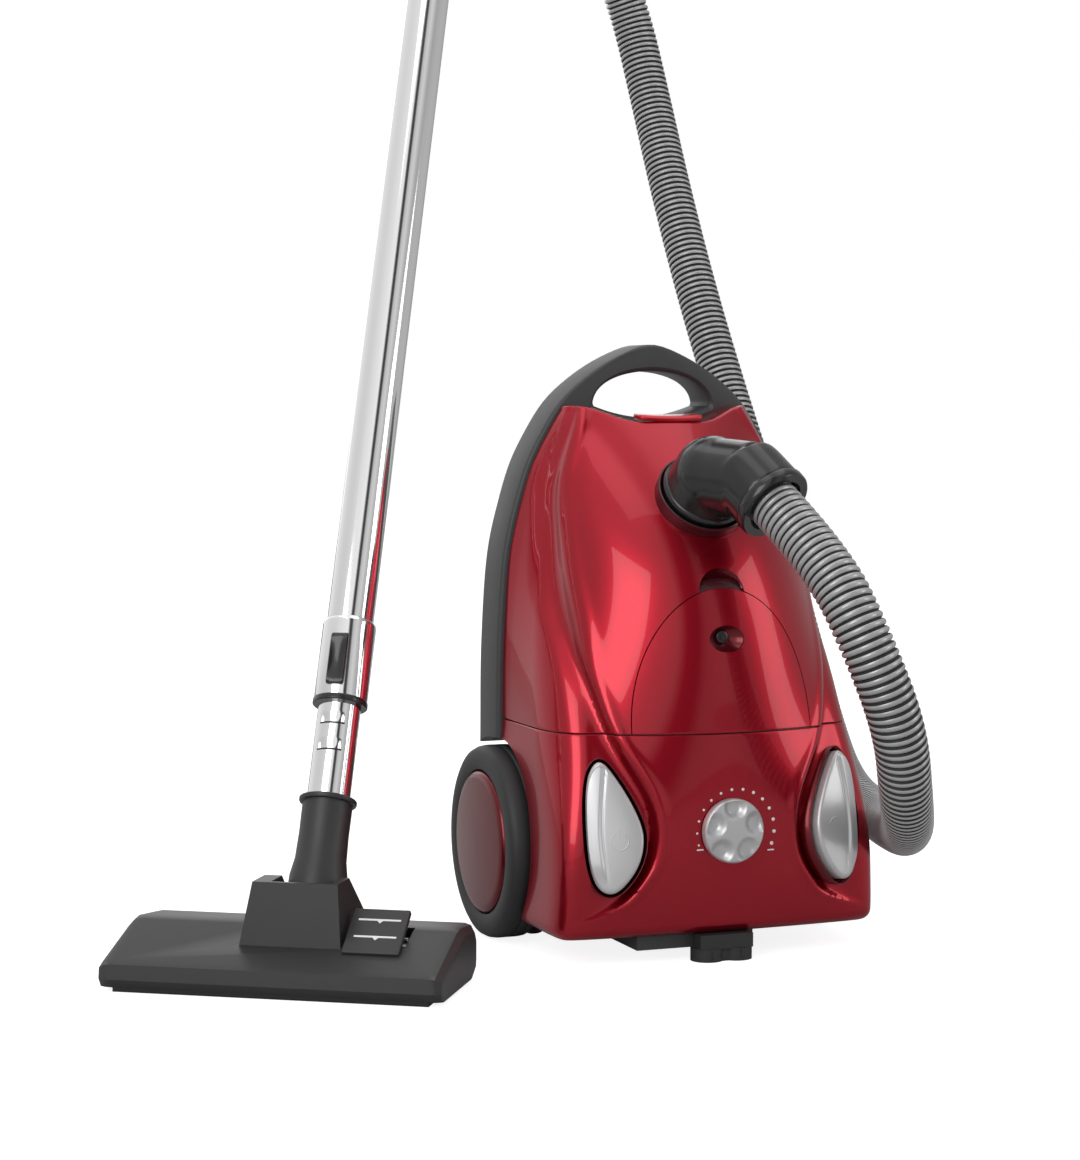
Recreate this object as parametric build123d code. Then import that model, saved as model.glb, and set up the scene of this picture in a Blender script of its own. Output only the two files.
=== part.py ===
from build123d import *
from math import cos, radians, sin, tan
import os

# Canister vacuum cleaner standing on its rear end, with its hose, handle, telescopic wand and floor head.
# Millimetres. X is across the canister, Y points from its red front to its underside, Z is up.
# The origin is the centre of the stand foot's sole, on the floor.

# ---- Canister ------------------------------------------------------------------------------------
WALL = 3.0
SHELL_BACK = 125.5          # back edge of the red shells
FRAME_FRONT, FRAME_BACK = 126.0, 165.0
SEAM_Z, SEAM_GAP = 160.0, 0.6
# Outer sections of the red shells: height, half width, y where the side starts, y of the shoulder at four
# fifths of the half width, y of the middle of the front
SHELL_SECTIONS = [
    (19, 122.5, 34, -2, -6),
    (90, 121.0, 42, -6, -16),
    (160, 116.5, 64, 12, -13.5),
    (245, 105.0, 86, 36, -4),
    (320, 89.0, 103, 64, 36),
    (384, 72.0, 119, 105, 98),
]
# Half width of the charcoal frame against height, up to the top of the carry handle
FRAME_SIDE = [
    (123.5, 60), (121.5, 140), (121, 200), (119, 244), (114.5, 287), (106, 321), (98, 345), (85.5, 369),
    (71.5, 389.5), (55, 404.5), (38, 416), (20, 425),
]
FRAME_LOW, HANDLE_APEX_Z = 17.0, 430.5
GRIP_HALF, GRIP_LOW, GRIP_HIGH = 46.0, 386.0, 411.0
POCKET_TOP = 374.0
CHAMBER_LOW, CHAMBER_HIGH = 168.0, 345.0
TUB_FRONT, TUB_BACK = 90.0, 151.0

WHEEL_R, WHEEL_Y = 70.0, 133.0
WHEEL_INNER, WHEEL_OUTER = 102.0, 132.0
WELL_R, WELL_X = 75.0, 97.0
TYRE_BAND = 18.0
AXLE_R, RUNNING = 5.0, 0.05
CASTER_Z, CASTER_R, CASTER_Y = 325.0, 15.0, 188.0

KNOB_Z, KNOB_R = 93.0, 22.5
PEDAL_X, PEDAL_Z, PEDAL_TURN, PEDAL_TILT = 88.0, 84.0, 22.0, 9.0
INLET = Vector(0, 36, 322)
INLET_AXIS = Vector(0, -0.763, 0.645).normalized()
COVER_HALF, COVER_TOP = 68.0, 260.0
NOTCH_R, NOTCH_Z, NOTCH_DEEP = 17.0, 256.5, 9.0
INDICATOR_Z = 225.0
PEDAL_Y = -5.0
MOTOR_X, MOTOR_Y, MOTOR_R = -41.0, 84.0, 48.0
REEL_Y, REEL_Z, REEL_R = 84.0, 88.0, 56.0

# ---- Wand and floor head -------------------------------------------------------------------------
HEAD_FRONT = Vector(-333, -20, 0)      # middle of the head's front edge, on the floor
HEAD_HEADING = -33.2                   # direction of the head's width, degrees from +X
HEAD_HALF, HEAD_DEPTH = 117.0, 104.0
NECK_AT = Vector(12, 60, 32)           # neck pin in the head's own frame
ROCKER_AT, ROCKER_TILT = Vector(64, 40.5, 39.5), 36.6
WAND_LEAN = 25.0
INNER_R, OUTER_R, SLEEVE_R = 14.8, 16.2, 18.6
TUBE_WALL = 1.0
NECK_TOP, SLEEVE_LOW, SLEEVE_HIGH = 95.0, 161.5, 223.5
INNER_TOP, OUTER_TOP, HANDLE_LOW, HANDLE_BEND = 560.0, 780.0, 745.0, 800.0

# ---- Hose ----------------------------------------------------------------------------------------
HOSE_R, HOSE_WALL = 18.5, 1.6
HOSE_ROUTE = [
    (20, -24, 326), (42, -76, 283), (57, -106, 230), (83, -106, 170), (104, -76, 118), (137, -18, 85),
    (173, 64, 72), (202, 150, 67), (214, 238, 80), (230, 312, 126), (236, 374, 204), (233, 430, 296),
    (221, 481, 394), (213, 530, 486), (208, 578, 580), (206, 622, 668), (196, 646, 748), (160, 634, 818),
    (108, 592, 864), (54, 534, 882), (6, 470, 871), (-32, 414, 832),
]

parts = {}


def box(x0, x1, y0, y1, z0, z1):
    """A block between two corners."""
    middle = ((x0 + x1) / 2, (y0 + y1) / 2, (z0 + z1) / 2)
    return Pos(*middle) * Box(x1 - x0, y1 - y0, z1 - z0)


def rod(start, end, radius, end_radius=None):
    """A round bar, or a cone, between two points."""
    start, end = Vector(start), Vector(end)
    length = (end - start).length
    place = Plane(origin=start, z_dir=end - start)
    if end_radius is None:
        body = Cylinder(radius, length)
    else:
        body = Cone(radius, end_radius, length)
    return place * Pos(0, 0, length / 2) * body


def pipe(start, end, radius, bore):
    """A round tube between two points, with its bore cut right through."""
    return rod(start, end, radius) - rod(start, end, bore)


def one(shape):
    """The biggest solid of a cut, without stray slivers."""
    return max(shape.solids(), key=lambda s: s.volume)


def section(z, half, side_y, shoulder_y, nose_y, back_y):
    """One closed outline of the red shell: bowed front, round corners, two sides and a straight back."""
    shoulder, rise = 0.8 * half, shoulder_y - nose_y
    radius = (shoulder**2 + rise**2) / (2 * rise)
    corner_y = shoulder_y + (half - shoulder) * shoulder / (radius - rise)
    left, right = (-half, side_y, z), (half, side_y, z)
    left_shoulder, right_shoulder = (-shoulder, shoulder_y, z), (shoulder, shoulder_y, z)
    edges = [
        Bezier(left, (-half, corner_y, z), left_shoulder),
        ThreePointArc(left_shoulder, (0, nose_y, z), right_shoulder),
        Bezier(right_shoulder, (half, corner_y, z), right),
        Line(right, (half, back_y, z)),
        Line((half, back_y, z), (-half, back_y, z)),
        Line((-half, back_y, z), left),
    ]
    return make_face(edges)


def shell_solid(inset, back_y, low=None, high=None):
    """The red body as one lofted solid, drawn in by inset on its front and sides."""
    faces = []
    for z, half, side_y, shoulder_y, nose_y in SHELL_SECTIONS:
        if z == SHELL_SECTIONS[0][0] and low is not None:
            z = low
        if z == SHELL_SECTIONS[-1][0] and high is not None:
            z = high
        faces.append(section(z, half - inset, side_y, shoulder_y + inset, nose_y + inset, back_y))
    return loft(faces)


def arch_outline(inset):
    """Closed outline in X and Z of the frame, drawn in by inset: two bowed sides that meet in an arch."""
    right = [(half - inset, z) for half, z in FRAME_SIDE]
    left = [(-half, z) for half, z in reversed(right)]
    bottom = [(left[-1][0], FRAME_LOW), (right[0][0], FRAME_LOW)]
    with BuildSketch(Plane.XZ) as outline:
        with BuildLine():
            Spline(*right, (0, HANDLE_APEX_Z - inset), *left)
            Polyline(left[-1], *bottom, right[0])
        make_face()
    return outline.sketch


def along_y(sketch, y0, y1):
    """A sketch in X and Z, extruded from y0 to y1."""
    solid = extrude(Pos(0, y0, 0) * sketch, amount=y1 - y0, dir=(0, 1, 0))
    return solid


def hull_outline(*circles):
    """The tight outline round a few circles (x, z, radius), in the local XY plane of a sketch."""
    return make_hull([CenterArc((x, z), radius, 0, 360) for x, z, radius in circles])


# ---- Red shells and what is let into them --------------------------------------------------------
outer = shell_solid(0, SHELL_BACK)
hollow = shell_solid(WALL, SHELL_BACK + 1, low=SHELL_SECTIONS[0][0] + WALL, high=SHELL_SECTIONS[-1][0] - WALL)
red = outer - hollow
half_gap = SEAM_GAP / 2
low_half = red & box(-200, 200, -100, 200, 0, SEAM_Z - half_gap)
high_half = red & box(-200, 200, -100, 200, SEAM_Z + half_gap, 500)


def pedal_plane(side):
    """Frame of a pedal: local Z leaves the shell, local Y is up."""
    turn, tilt = radians(PEDAL_TURN), radians(PEDAL_TILT)
    normal = Vector(side * sin(turn) * cos(tilt), -cos(turn) * cos(tilt), sin(tilt))
    across = Vector(cos(turn), side * sin(turn), 0)
    return Plane(origin=(side * PEDAL_X, PEDAL_Y, PEDAL_Z), x_dir=across, z_dir=normal)


def pedal_outline(side, grow):
    """Leaf outline of a pedal: wide in the middle, with a narrow upper end that leans outwards."""
    return hull_outline(
        (6 * side, 50, 9.5 + grow),
        (5 * side, 20, 10.5 + grow),
        (-9 * side, 4, 16.5 + grow),
        (-side, -22, 11 + grow),
    )


front_shell = low_half
for side in (-1, 1):
    well = rod((side * 90, WHEEL_Y, WHEEL_R), (side * 140, WHEEL_Y, WHEEL_R), WELL_R + 1)
    window = pedal_plane(side) * extrude(pedal_outline(side, 1.0), amount=60, both=True)
    front_shell = front_shell - well - window
front_shell -= rod((0, -40, KNOB_Z), (0, 20, KNOB_Z), 4.5)
parts["front_shell"] = one(front_shell)

arch_face = Plane.XZ * Pos(0, SEAM_Z + 2) * Ellipse(COVER_HALF, COVER_TOP - SEAM_Z - 2)
cover_arch = along_y(arch_face, -60, 60) & box(-200, 200, -100, 100, SEAM_Z + 2, 400)
arch_gap = offset(cover_arch, 0.6)
cup = rod((0, -30, NOTCH_Z), (0, NOTCH_DEEP + 3, NOTCH_Z), NOTCH_R + 3) & shell_solid(1, SHELL_BACK)
dust_lid = high_half + cup - arch_gap - rod((0, -30, NOTCH_Z), (0, NOTCH_DEEP, NOTCH_Z), NOTCH_R)
dust_lid -= rod(INLET - INLET_AXIS * 40, INLET + INLET_AXIS * 40, 33.2)
dust_lid -= box(-25, 25, 88, 112, 372, 400)
parts["dust_lid"] = one(dust_lid)



def oval(half_x, half_z, y0, y1):
    """An oval bar along Y at the height of the dust indicator."""
    return along_y(Plane.XZ * Pos(0, INDICATOR_Z) * Ellipse(half_x, half_z), y0, y1)


parts["accessory_cover"] = one((high_half & cover_arch) - oval(13.1, 9.4, -40, 20))
parts["dust_indicator"] = oval(13, 9.3, -8.5, 3) - oval(10.5, 7, -10, -2)

liner = shell_solid(WALL + 0.4, SHELL_BACK)
tray = box(-58, 58, -20, 42, 164, 242) - box(-55, 55, -30, 39.5, 166.5, 239.5)
parts["accessory_tray"] = one(tray & liner)
parts["inlet_collar"] = pipe(INLET - INLET_AXIS * 8, INLET + INLET_AXIS * 7, 33, 30.5)
parts["lid_latch"] = box(-24, 24, 94, 104, 374, 385.5) + box(-10, 10, 94, 104, 366, 374)

# ---- Elbow of the hose ---------------------------------------------------------------------------
hose_start = Vector(*HOSE_ROUTE[0])
hose_dir = (Vector(*HOSE_ROUTE[1]) - hose_start).normalized()
ball = INLET + INLET_AXIS * 24
cuff_low, cuff_high = hose_start - hose_dir * 14, hose_start + hose_dir * 10
elbow = rod(INLET - INLET_AXIS * 12, ball, 29.3, 28) + Pos(*ball) * Sphere(28) + rod(ball, cuff_low, 27, 25)
elbow += rod(cuff_low, cuff_high, 25)
elbow -= rod(INLET - INLET_AXIS * 13, ball, 17)
elbow -= Pos(*ball) * Sphere(18)
elbow -= rod(ball, hose_start, 16.5)
elbow -= rod(hose_start, cuff_high + hose_dir, HOSE_R + 0.5)
parts["elbow"] = one(elbow)

# ---- Charcoal frame with the carry handle --------------------------------------------------------
frame = along_y(arch_outline(0), FRAME_FRONT, FRAME_BACK)
pocket = along_y(arch_outline(9), FRAME_FRONT - 1, FRAME_BACK - 5)
pocket &= box(-200, 200, 0, 200, FRAME_LOW + 8, POCKET_TOP)
frame -= pocket
grip_hole = along_y(
    make_face(
        [
            ThreePointArc((-GRIP_HALF, 0, GRIP_LOW), (0, 0, GRIP_HIGH), (GRIP_HALF, 0, GRIP_LOW)),
            Line((GRIP_HALF, 0, GRIP_LOW), (-GRIP_HALF, 0, GRIP_LOW)),
        ]
    ),
    100,
    200,
)
frame -= grip_hole
for side in (-1, 1):
    frame -= rod((side * WELL_X, WHEEL_Y, WHEEL_R), (side * 160, WHEEL_Y, WHEEL_R), WELL_R + 1)
    wall = rod((side * (WELL_X - 3), WHEEL_Y, WHEEL_R), (side * WELL_X, WHEEL_Y, WHEEL_R), WELL_R - 5)
    boss = rod((side * 90, WHEEL_Y, WHEEL_R), (side * WELL_X, WHEEL_Y, WHEEL_R), 11)
    web = box(
        *sorted((side * 90, side * WELL_X)), WHEEL_Y, FRAME_BACK - 2, WHEEL_R - 3, WHEEL_R + 3
    )
    keep = box(-200, 200, 0, FRAME_BACK - 1, 22, 300)
    frame += (wall & keep) + boss + web
    frame -= rod((side * 88, WHEEL_Y, WHEEL_R), (side * 120, WHEEL_Y, WHEEL_R), AXLE_R)
frame -= rod((0, 158, CASTER_Z), (0, 170, CASTER_Z), 22)
frame += rod((0, 156.5, CASTER_Z), (0, 160, CASTER_Z), 26) + rod((0, 152, CASTER_Z), (0, 160, CASTER_Z), 10)
frame -= rod((0, 147, CASTER_Z), (0, 170, CASTER_Z), 4 + RUNNING)
frame -= box(-80, -4, 150, 170, 56, 112)
frame -= rod((52, 150, 40), (52, 170, 40), 9)
parts["rear_frame"] = one(frame)

parts["base_plate"] = box(-62, 26, 4, 120, 9, 19) + box(-50, 50, 120, 160, 9, 16.5)
for side in (-1, 1):
    parts["base_plate"] += box(*sorted((side * 34, side * 50)), 146, 160, 0, 9)
foot = rod((-11, 0, 0), (-11, 0, 9), 11.5) + rod((11, 0, 0), (11, 0, 9), 11.5) + box(-11, 11, -8, 8, 0, 9)
foot_post = box(-20, 20, -10, 4, 9, 19)
for x in (-17, -11, -5, 5, 11, 17):
    foot -= rod((x, -12.2, 2), (x, -12.2, 20), 1.6)
parts["stand_foot"] = one(foot + (foot_post - box(-70, 70, 4, 20, 0, 30)))

# ---- Wheels --------------------------------------------------------------------------------------
axles = []
for side, name in ((-1, "left"), (1, "right")):
    def at(x, side=side):
        return (side * x, WHEEL_Y, WHEEL_R)

    rim = WHEEL_R - TYRE_BAND
    tyre = pipe(at(WHEEL_INNER), at(WHEEL_OUTER), WHEEL_R, rim)
    edges = [e for e in tyre.edges() if e.geom_type == GeomType.CIRCLE and e.radius > WHEEL_R - 1]
    parts[name + "_tyre"] = fillet(edges, 4)
    hub = rod(at(WHEEL_INNER + 1), at(127), rim) - rod(at(WHEEL_INNER + 4), at(128), rim - 4)
    hub += rod(at(WHEEL_INNER + 1), at(125), 12)
    parts[name + "_wheel_hub"] = hub - rod(at(100), at(130), AXLE_R + RUNNING)
    cap = rod(at(127), at(130), rim) + rod(at(130), at(136), rim - 1, rim - 16)
    parts[name + "_hubcap"] = cap
    axles.append(rod(at(90), at(124), AXLE_R))
parts["wheel_axles"] = Compound(axles)

fork = rod((0, 152, CASTER_Z), (0, 161, CASTER_Z), 4) + rod((0, 160.5, CASTER_Z), (0, 163, CASTER_Z), 18)
caster_axis = (CASTER_Y, CASTER_Z - 8)
for side in (-1, 1):
    arm = box(*sorted((side * 8, side * 10)), 162, CASTER_Y + 5, CASTER_Z - 14, CASTER_Z + 2)
    fork += arm
fork -= rod((-20, *caster_axis), (20, *caster_axis), 2)
parts["caster_fork"] = one(fork)
parts["caster_axle"] = rod((-10, *caster_axis), (10, *caster_axis), 2)
parts["caster_wheel"] = pipe((-7, *caster_axis), (7, *caster_axis), CASTER_R, 2 + RUNNING)

# ---- Dust chamber --------------------------------------------------------------------------------
def tub_solid(inset, front):
    """The dust chamber's outer form, narrower at the top; its front is open."""
    low, high = CHAMBER_LOW + inset, CHAMBER_HIGH - inset
    middle, depth = (front + TUB_BACK - inset) / 2, TUB_BACK - inset - front
    bottom = Plane(origin=(0, 0, low)) * Pos(0, middle, 0) * Rectangle(184 - 2 * inset, depth)
    top = Plane(origin=(0, 0, high)) * Pos(0, middle, 0) * Rectangle(122 - 2 * inset, depth)
    return loft([bottom, top])


rim = tub_solid(0, TUB_FRONT - 2.5) - tub_solid(2.5, TUB_FRONT - 4)
parts["lid_seal"] = rim & box(-200, 200, TUB_FRONT - 2.5, TUB_FRONT, 0, 500)
tub = rim & box(-200, 200, TUB_FRONT, 200, 0, 500)
tub -= box(-72, -12, 98, 140, CHAMBER_LOW - 1, CHAMBER_LOW + 4)
parts["dust_tub"] = one(tub)
bag = box(-54, 54, 78, 142, 186, 328)
parts["dust_bag"] = fillet(bag.edges(), 22)
holder = box(-40, 40, 71, 74, 250, 338) - rod((0, 60, 298), (0, 78, 298), 20)
parts["bag_holder"] = holder + box(-40, -34, 74, 94, 333, 338) + box(34, 40, 74, 94, 333, 338)
parts["motor_filter"] = box(-72, -12, 98, 140, CHAMBER_LOW - 4, CHAMBER_LOW + 4)

# ---- Motor, cord reel and electrics --------------------------------------------------------------
def motor(z):
    return (MOTOR_X, MOTOR_Y, z)


can = rod(motor(34), motor(136), MOTOR_R) - rod(motor(37), motor(133), MOTOR_R - 3)
can -= rod(motor(130), motor(140), 20)
can += rod(motor(37), motor(44), 10)
can -= rod(motor(30), motor(50), 4 + RUNNING)
for step in range(6):
    turn = radians(60 * step)
    spot = Vector(MOTOR_X + 36 * cos(turn), MOTOR_Y + 36 * sin(turn), 30)
    can -= rod(spot, spot + Vector(0, 0, 10), 6)
parts["motor_housing"] = one(can)
rotor = rod(motor(35), motor(124), 4) + rod(motor(52), motor(92), 27)
rotor += rod(motor(106), motor(109), 41) + pipe(motor(117), motor(119), 41, 18)
for step in range(8):
    blade = Rot(0, 0, 45 * step) * Pos(29, 0, 0) * Box(22, 2, 9)
    rotor += Pos(*motor(113)) * blade
parts["fan_rotor"] = rotor
parts["motor_mounts"] = Compound(
    [pipe(motor(34), motor(44), MOTOR_R + 4, MOTOR_R), pipe(motor(126), motor(136), MOTOR_R + 4, MOTOR_R)]
)


def reel(x):
    return (x, REEL_Y, REEL_Z)


drum = pipe(reel(24), reel(74), 24, 21) + rod(reel(24), reel(26.5), REEL_R)
drum += rod(reel(71.5), reel(74), REEL_R)
drum -= rod(reel(20), reel(80), AXLE_R + RUNNING)
parts["reel_drum"] = one(drum)
parts["reel_axle"] = rod(reel(16), reel(86), AXLE_R) + rod(reel(16), reel(19), 12)
parts["reel_spring_housing"] = pipe(reel(76), reel(88), 40, AXLE_R) - pipe(reel(78), reel(86), 37, 8)
parts["cord_outlet"] = pipe((52, 160, 40), (52, 168, 40), 9, 5) + pipe((52, 165, 40), (52, 168, 40), 13, 9)
parts["exhaust_filter"] = box(-78, -6, 151, 158.5, 58, 110)
grille = box(-80, -4, 160, 164, 56, 112)
for row in range(7):
    z = 63 + row * 7
    grille -= box(-74, -10, 150, 170, z - 1.6, z + 1.6)
parts["exhaust_grille"] = grille

parts["control_board"] = Compound(
    [box(-32, 32, 16, 17.6, 66, 120), pipe((0, 6, KNOB_Z), (0, 16, KNOB_Z), 8, 3 + RUNNING)]
)
parts["power_switch"] = box(-84, -68, 24, 38, 86, 104)


def pedal(side):
    """Moulded pedal with a raised ridge on its outer part."""
    plate = extrude(pedal_outline(side, 0), amount=5) + extrude(pedal_outline(side, -5), amount=-9)
    ridge = Pos(5 * side, 24, 5) * Box(4, 56, 5)
    return pedal_plane(side) * (plate + ridge)


parts["power_pedal"] = pedal(-1)
parts["rewind_pedal"] = pedal(1)
springs = []
for side in (-1, 1):
    spring = Cylinder(6, 9) - Cylinder(4.5, 9)
    springs.append(pedal_plane(side) * Pos(-5 * side, -8, -13.5) * spring)
parts["pedal_springs"] = Compound(springs)

knob = rod((0, -17, KNOB_Z), (0, -21, KNOB_Z), KNOB_R)
knob += rod((0, -21, KNOB_Z), (0, -25, KNOB_Z), KNOB_R, KNOB_R - 2.5)
for step in range(5):
    turn = radians(90 + 72 * step)
    scoop = Pos(17 * cos(turn), -30.5, KNOB_Z + 17 * sin(turn)) * Sphere(8.5)
    knob -= scoop
parts["suction_knob"] = knob
parts["knob_shaft"] = rod((0, -17, KNOB_Z), (0, 12, KNOB_Z), 3)

# ---- Floor head ----------------------------------------------------------------------------------
heading = radians(HEAD_HEADING)
across = Vector(cos(heading), sin(heading), 0)
backward = Vector(-sin(heading), cos(heading), 0)
head = Plane(origin=HEAD_FRONT, x_dir=across, z_dir=(0, 0, 1))


def head_profile(x, front, top_front, back, top_z, ridge):
    """Side outline of the head at one width, from its front edge to its back."""
    points = [(front, 4), (back - 10, 4), (back, 12), (back, top_z - 4), (ridge, top_z), (front, top_front)]
    outline = make_face(Polyline(*points, close=True))
    return Plane(origin=(x, 0, 0), x_dir=(0, 1, 0), z_dir=(1, 0, 0)) * outline


def head_solid(inset):
    """The head's cover, with a low front edge, a ridge along it and bevelled ends."""
    end, shoulder = HEAD_HALF - inset, HEAD_HALF - 6 - inset
    back = HEAD_DEPTH - inset
    outlines = [
        head_profile(-end, 2 + inset, 16 - inset, back - 8, 36 - inset, 62),
        head_profile(-shoulder, inset, 19.5 - inset, back, 40 - inset, 64),
        head_profile(shoulder, inset, 19.5 - inset, back, 40 - inset, 64),
        head_profile(end, 2 + inset, 16 - inset, back - 8, 36 - inset, 62),
    ]
    return loft(outlines, ruled=True)


neck_x, neck_y, neck_z = NECK_AT
hood = loft(
    [
        Plane(origin=(neck_x - 3, 61, 20)) * Rectangle(82, 74),
        Plane(origin=(neck_x - 3, 57, 70)) * Rectangle(60, 44),
    ]
)
shell = (head_solid(0) + hood) - (head_solid(2.6) - box(neck_x - 32, neck_x + 32, 24, 98, 12, 60))
shell -= box(-104, 104, 8, 92, 0, 6)
shell -= box(neck_x - 20.5, neck_x + 20.5, neck_y - 21, neck_y + 80, neck_z, neck_z + 60)
shell -= box(neck_x - 20.5, neck_x + 20.5, neck_y, neck_y + 80, neck_z - 16, neck_z + 60)
shell -= rod((neck_x - 20.5, neck_y, neck_z), (neck_x + 20.5, neck_y, neck_z), 21)
shell -= rod((neck_x - 34, neck_y, neck_z), (neck_x + 34, neck_y, neck_z), 3)
shell -= box(neck_x - 16, neck_x + 16, 30, 80, 0, 14)
rocker_up = Vector(0, -sin(radians(ROCKER_TILT)), cos(radians(ROCKER_TILT)))
rocker_face = Plane(origin=ROCKER_AT, x_dir=(1, 0, 0), z_dir=rocker_up)
shell -= box(ROCKER_AT.X - 20, ROCKER_AT.X + 20, 22, 62, 16, 80)
shell -= box(-20, 20, HEAD_DEPTH - 12, HEAD_DEPTH + 5, 0, 14)
parts["head_cover"] = head * one(shell)
sole = box(-108, 108, 4, 92, 0, 4) - box(-86, 86, 30, 46, -1, 5)
sole -= box(-98, 98, 16, 22, -1, 5) + box(-98, 98, 54, 60, -1, 5)
parts["sole_plate"] = head * sole
strips = box(-97, 97, 17, 21, 1.5, 9) + box(-97, 97, 55, 59, 1.5, 9)
strips += box(-97, 97, 17, 59, 9, 10.5) - box(-90, 90, 24, 52, 8, 12)
parts["brush_strips"] = head * one(strips)
rocker = Box(37, 38.6, 4) + Pos(0, 0, -5) * Box(28, 10, 8)
for y in (-6, 9):
    rocker += Pos(0, y, 2.3) * Box(30, 1.6, 0.8)
rocker_pin = rocker_face * rod((-19.6, 0, -6), (19.6, 0, -6), 1.5)
rocker -= rod((-25, 0, -6), (25, 0, -6), 1.5 + RUNNING)
rocker = rocker_face * rocker
parts["rocker_pedal"] = head * rocker
roller_at = (HEAD_DEPTH - 5, 6)
parts["head_roller"] = head * pipe((-18, *roller_at), (18, *roller_at), 6, 1.5 + RUNNING)
parts["head_pins"] = head * Compound([rocker_pin, rod((-20, *roller_at), (20, *roller_at), 1.5)])

# ---- Neck and wand -------------------------------------------------------------------------------
pivot = head.from_local_coords(NECK_AT)
lean = radians(WAND_LEAN)
wand_dir = backward * sin(lean) + Vector(0, 0, cos(lean))


def on_wand(length):
    """A point on the wand's axis, so far up from the neck pin."""
    return pivot + wand_dir * length


neck = rod(pivot - across * 20, pivot + across * 20, 19)
neck += rod(on_wand(0), on_wand(NECK_TOP), 18.6, 17.2)
neck += rod(on_wand(NECK_TOP - 3), on_wand(NECK_TOP), 19.6)
neck -= rod(on_wand(58), on_wand(NECK_TOP + 1), INNER_R)
neck -= rod(on_wand(-30), on_wand(59), 13)
neck -= rod(pivot - across * 40, pivot + across * 40, 3 + RUNNING)
parts["neck"] = one(neck)
parts["neck_pin"] = rod(pivot - across * 33, pivot + across * 33, 3)
inner_tube = pipe(on_wand(58), on_wand(INNER_TOP), INNER_R, INNER_R - TUBE_WALL)
notch_side = -backward * cos(lean) + Vector(0, 0, sin(lean))
for length in (130, 149):
    inner_tube -= rod(on_wand(length) + notch_side * 13.9, on_wand(length) + notch_side * 20, 6)
parts["inner_tube"] = one(inner_tube)
parts["outer_tube"] = pipe(on_wand(SLEEVE_LOW + 4), on_wand(OUTER_TOP), OUTER_R, INNER_R + RUNNING)
sleeve = pipe(on_wand(SLEEVE_LOW + 4), on_wand(SLEEVE_HIGH), SLEEVE_R, OUTER_R)
release_plane = Plane(origin=on_wand(188.5), x_dir=across, z_dir=notch_side)
sleeve -= release_plane * Pos(0, 0, SLEEVE_R) * Box(15, 47, 6)
parts["sleeve"] = one(sleeve)
parts["sleeve_lip"] = pipe(on_wand(SLEEVE_LOW), on_wand(SLEEVE_LOW + 4), SLEEVE_R + 0.8, INNER_R + 0.1)
button = release_plane * Pos(0, 2, SLEEVE_R + 0.6) * Box(13, 37, 4.4)
parts["release_button"] = button - rod(on_wand(150), on_wand(240), OUTER_R + 0.15)

# ---- Handle --------------------------------------------------------------------------------------
bend = on_wand(HANDLE_BEND)
hose_end = Vector(*HOSE_ROUTE[-1])
grip_end = hose_end + (bend - hose_end).normalized()
spine = FilletPolyline(on_wand(HANDLE_LOW), bend, grip_end, radius=60)
grip_profile = Plane(origin=spine @ 0, z_dir=spine % 0) * Circle(20)
grip_bore = Plane(origin=spine @ 0, z_dir=spine % 0) * Circle(OUTER_R)
handle = sweep(grip_profile, path=spine) - sweep(grip_bore, path=spine)
end_dir = spine % 1
vent_at = bend + end_dir * 60
up_side = end_dir.cross(across).normalized() * -1
vent = Plane(origin=vent_at, x_dir=across, z_dir=up_side)
handle -= vent * Pos(0, 0, 18.5) * Box(12, 22, 8)
parts["handle"] = one(handle)
slider = vent * Pos(0, 0, 21.4) * Box(20, 30, 2.6)
slider += vent * Pos(0, 0, 23.3) * Box(12, 3, 2)
parts["air_slider"] = slider
cuff = pipe(hose_end, hose_end + end_dir * 22, 23, HOSE_R + 0.5)
parts["hose_cuff"] = cuff + pipe(hose_end - end_dir * 8, hose_end, 23, 20)

# ---- Hose ----------------------------------------------------------------------------------------
points = [Vector(*p) for p in HOSE_ROUTE]
runs = [(b - a).length for a, b in zip(points, points[1:])]
radii = []
for index in range(1, len(points) - 1):
    turn = (points[index] - points[index - 1]).get_angle(points[index + 1] - points[index])
    radii.append(0.45 * min(runs[index - 1], runs[index]) / tan(radians(turn) / 2))
route = FilletPolyline(*points, radius=radii)
start = Plane(origin=route @ 0, z_dir=route % 0)
hose = sweep(start * Circle(HOSE_R), path=route) - sweep(start * Circle(HOSE_R - HOSE_WALL), path=route)
parts["hose"] = hose
print("hose length", round(route.length))

os.makedirs("parts", exist_ok=True)
for name, shape in parts.items():
    export_step(shape, f"parts/{name}.step")
print(len(parts), "parts")
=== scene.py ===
from math import acos, cos, hypot, pi, radians, sin, sqrt
import bmesh
import bpy
import numpy as np
from mathutils import Matrix, Vector


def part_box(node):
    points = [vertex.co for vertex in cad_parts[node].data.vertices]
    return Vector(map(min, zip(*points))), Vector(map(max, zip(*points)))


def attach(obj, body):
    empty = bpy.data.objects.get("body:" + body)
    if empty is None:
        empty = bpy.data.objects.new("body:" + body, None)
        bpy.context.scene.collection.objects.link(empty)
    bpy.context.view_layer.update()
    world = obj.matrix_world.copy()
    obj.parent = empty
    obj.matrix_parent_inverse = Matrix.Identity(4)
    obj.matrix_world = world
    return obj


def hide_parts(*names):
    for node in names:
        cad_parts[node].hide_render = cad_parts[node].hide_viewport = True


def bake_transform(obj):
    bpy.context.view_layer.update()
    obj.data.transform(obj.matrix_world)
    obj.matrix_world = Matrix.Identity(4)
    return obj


# Canister vacuum cleaner: lengths below are millimetres in the CAD frame, and mesh() turns them into metres.
MM = 0.001
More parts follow.
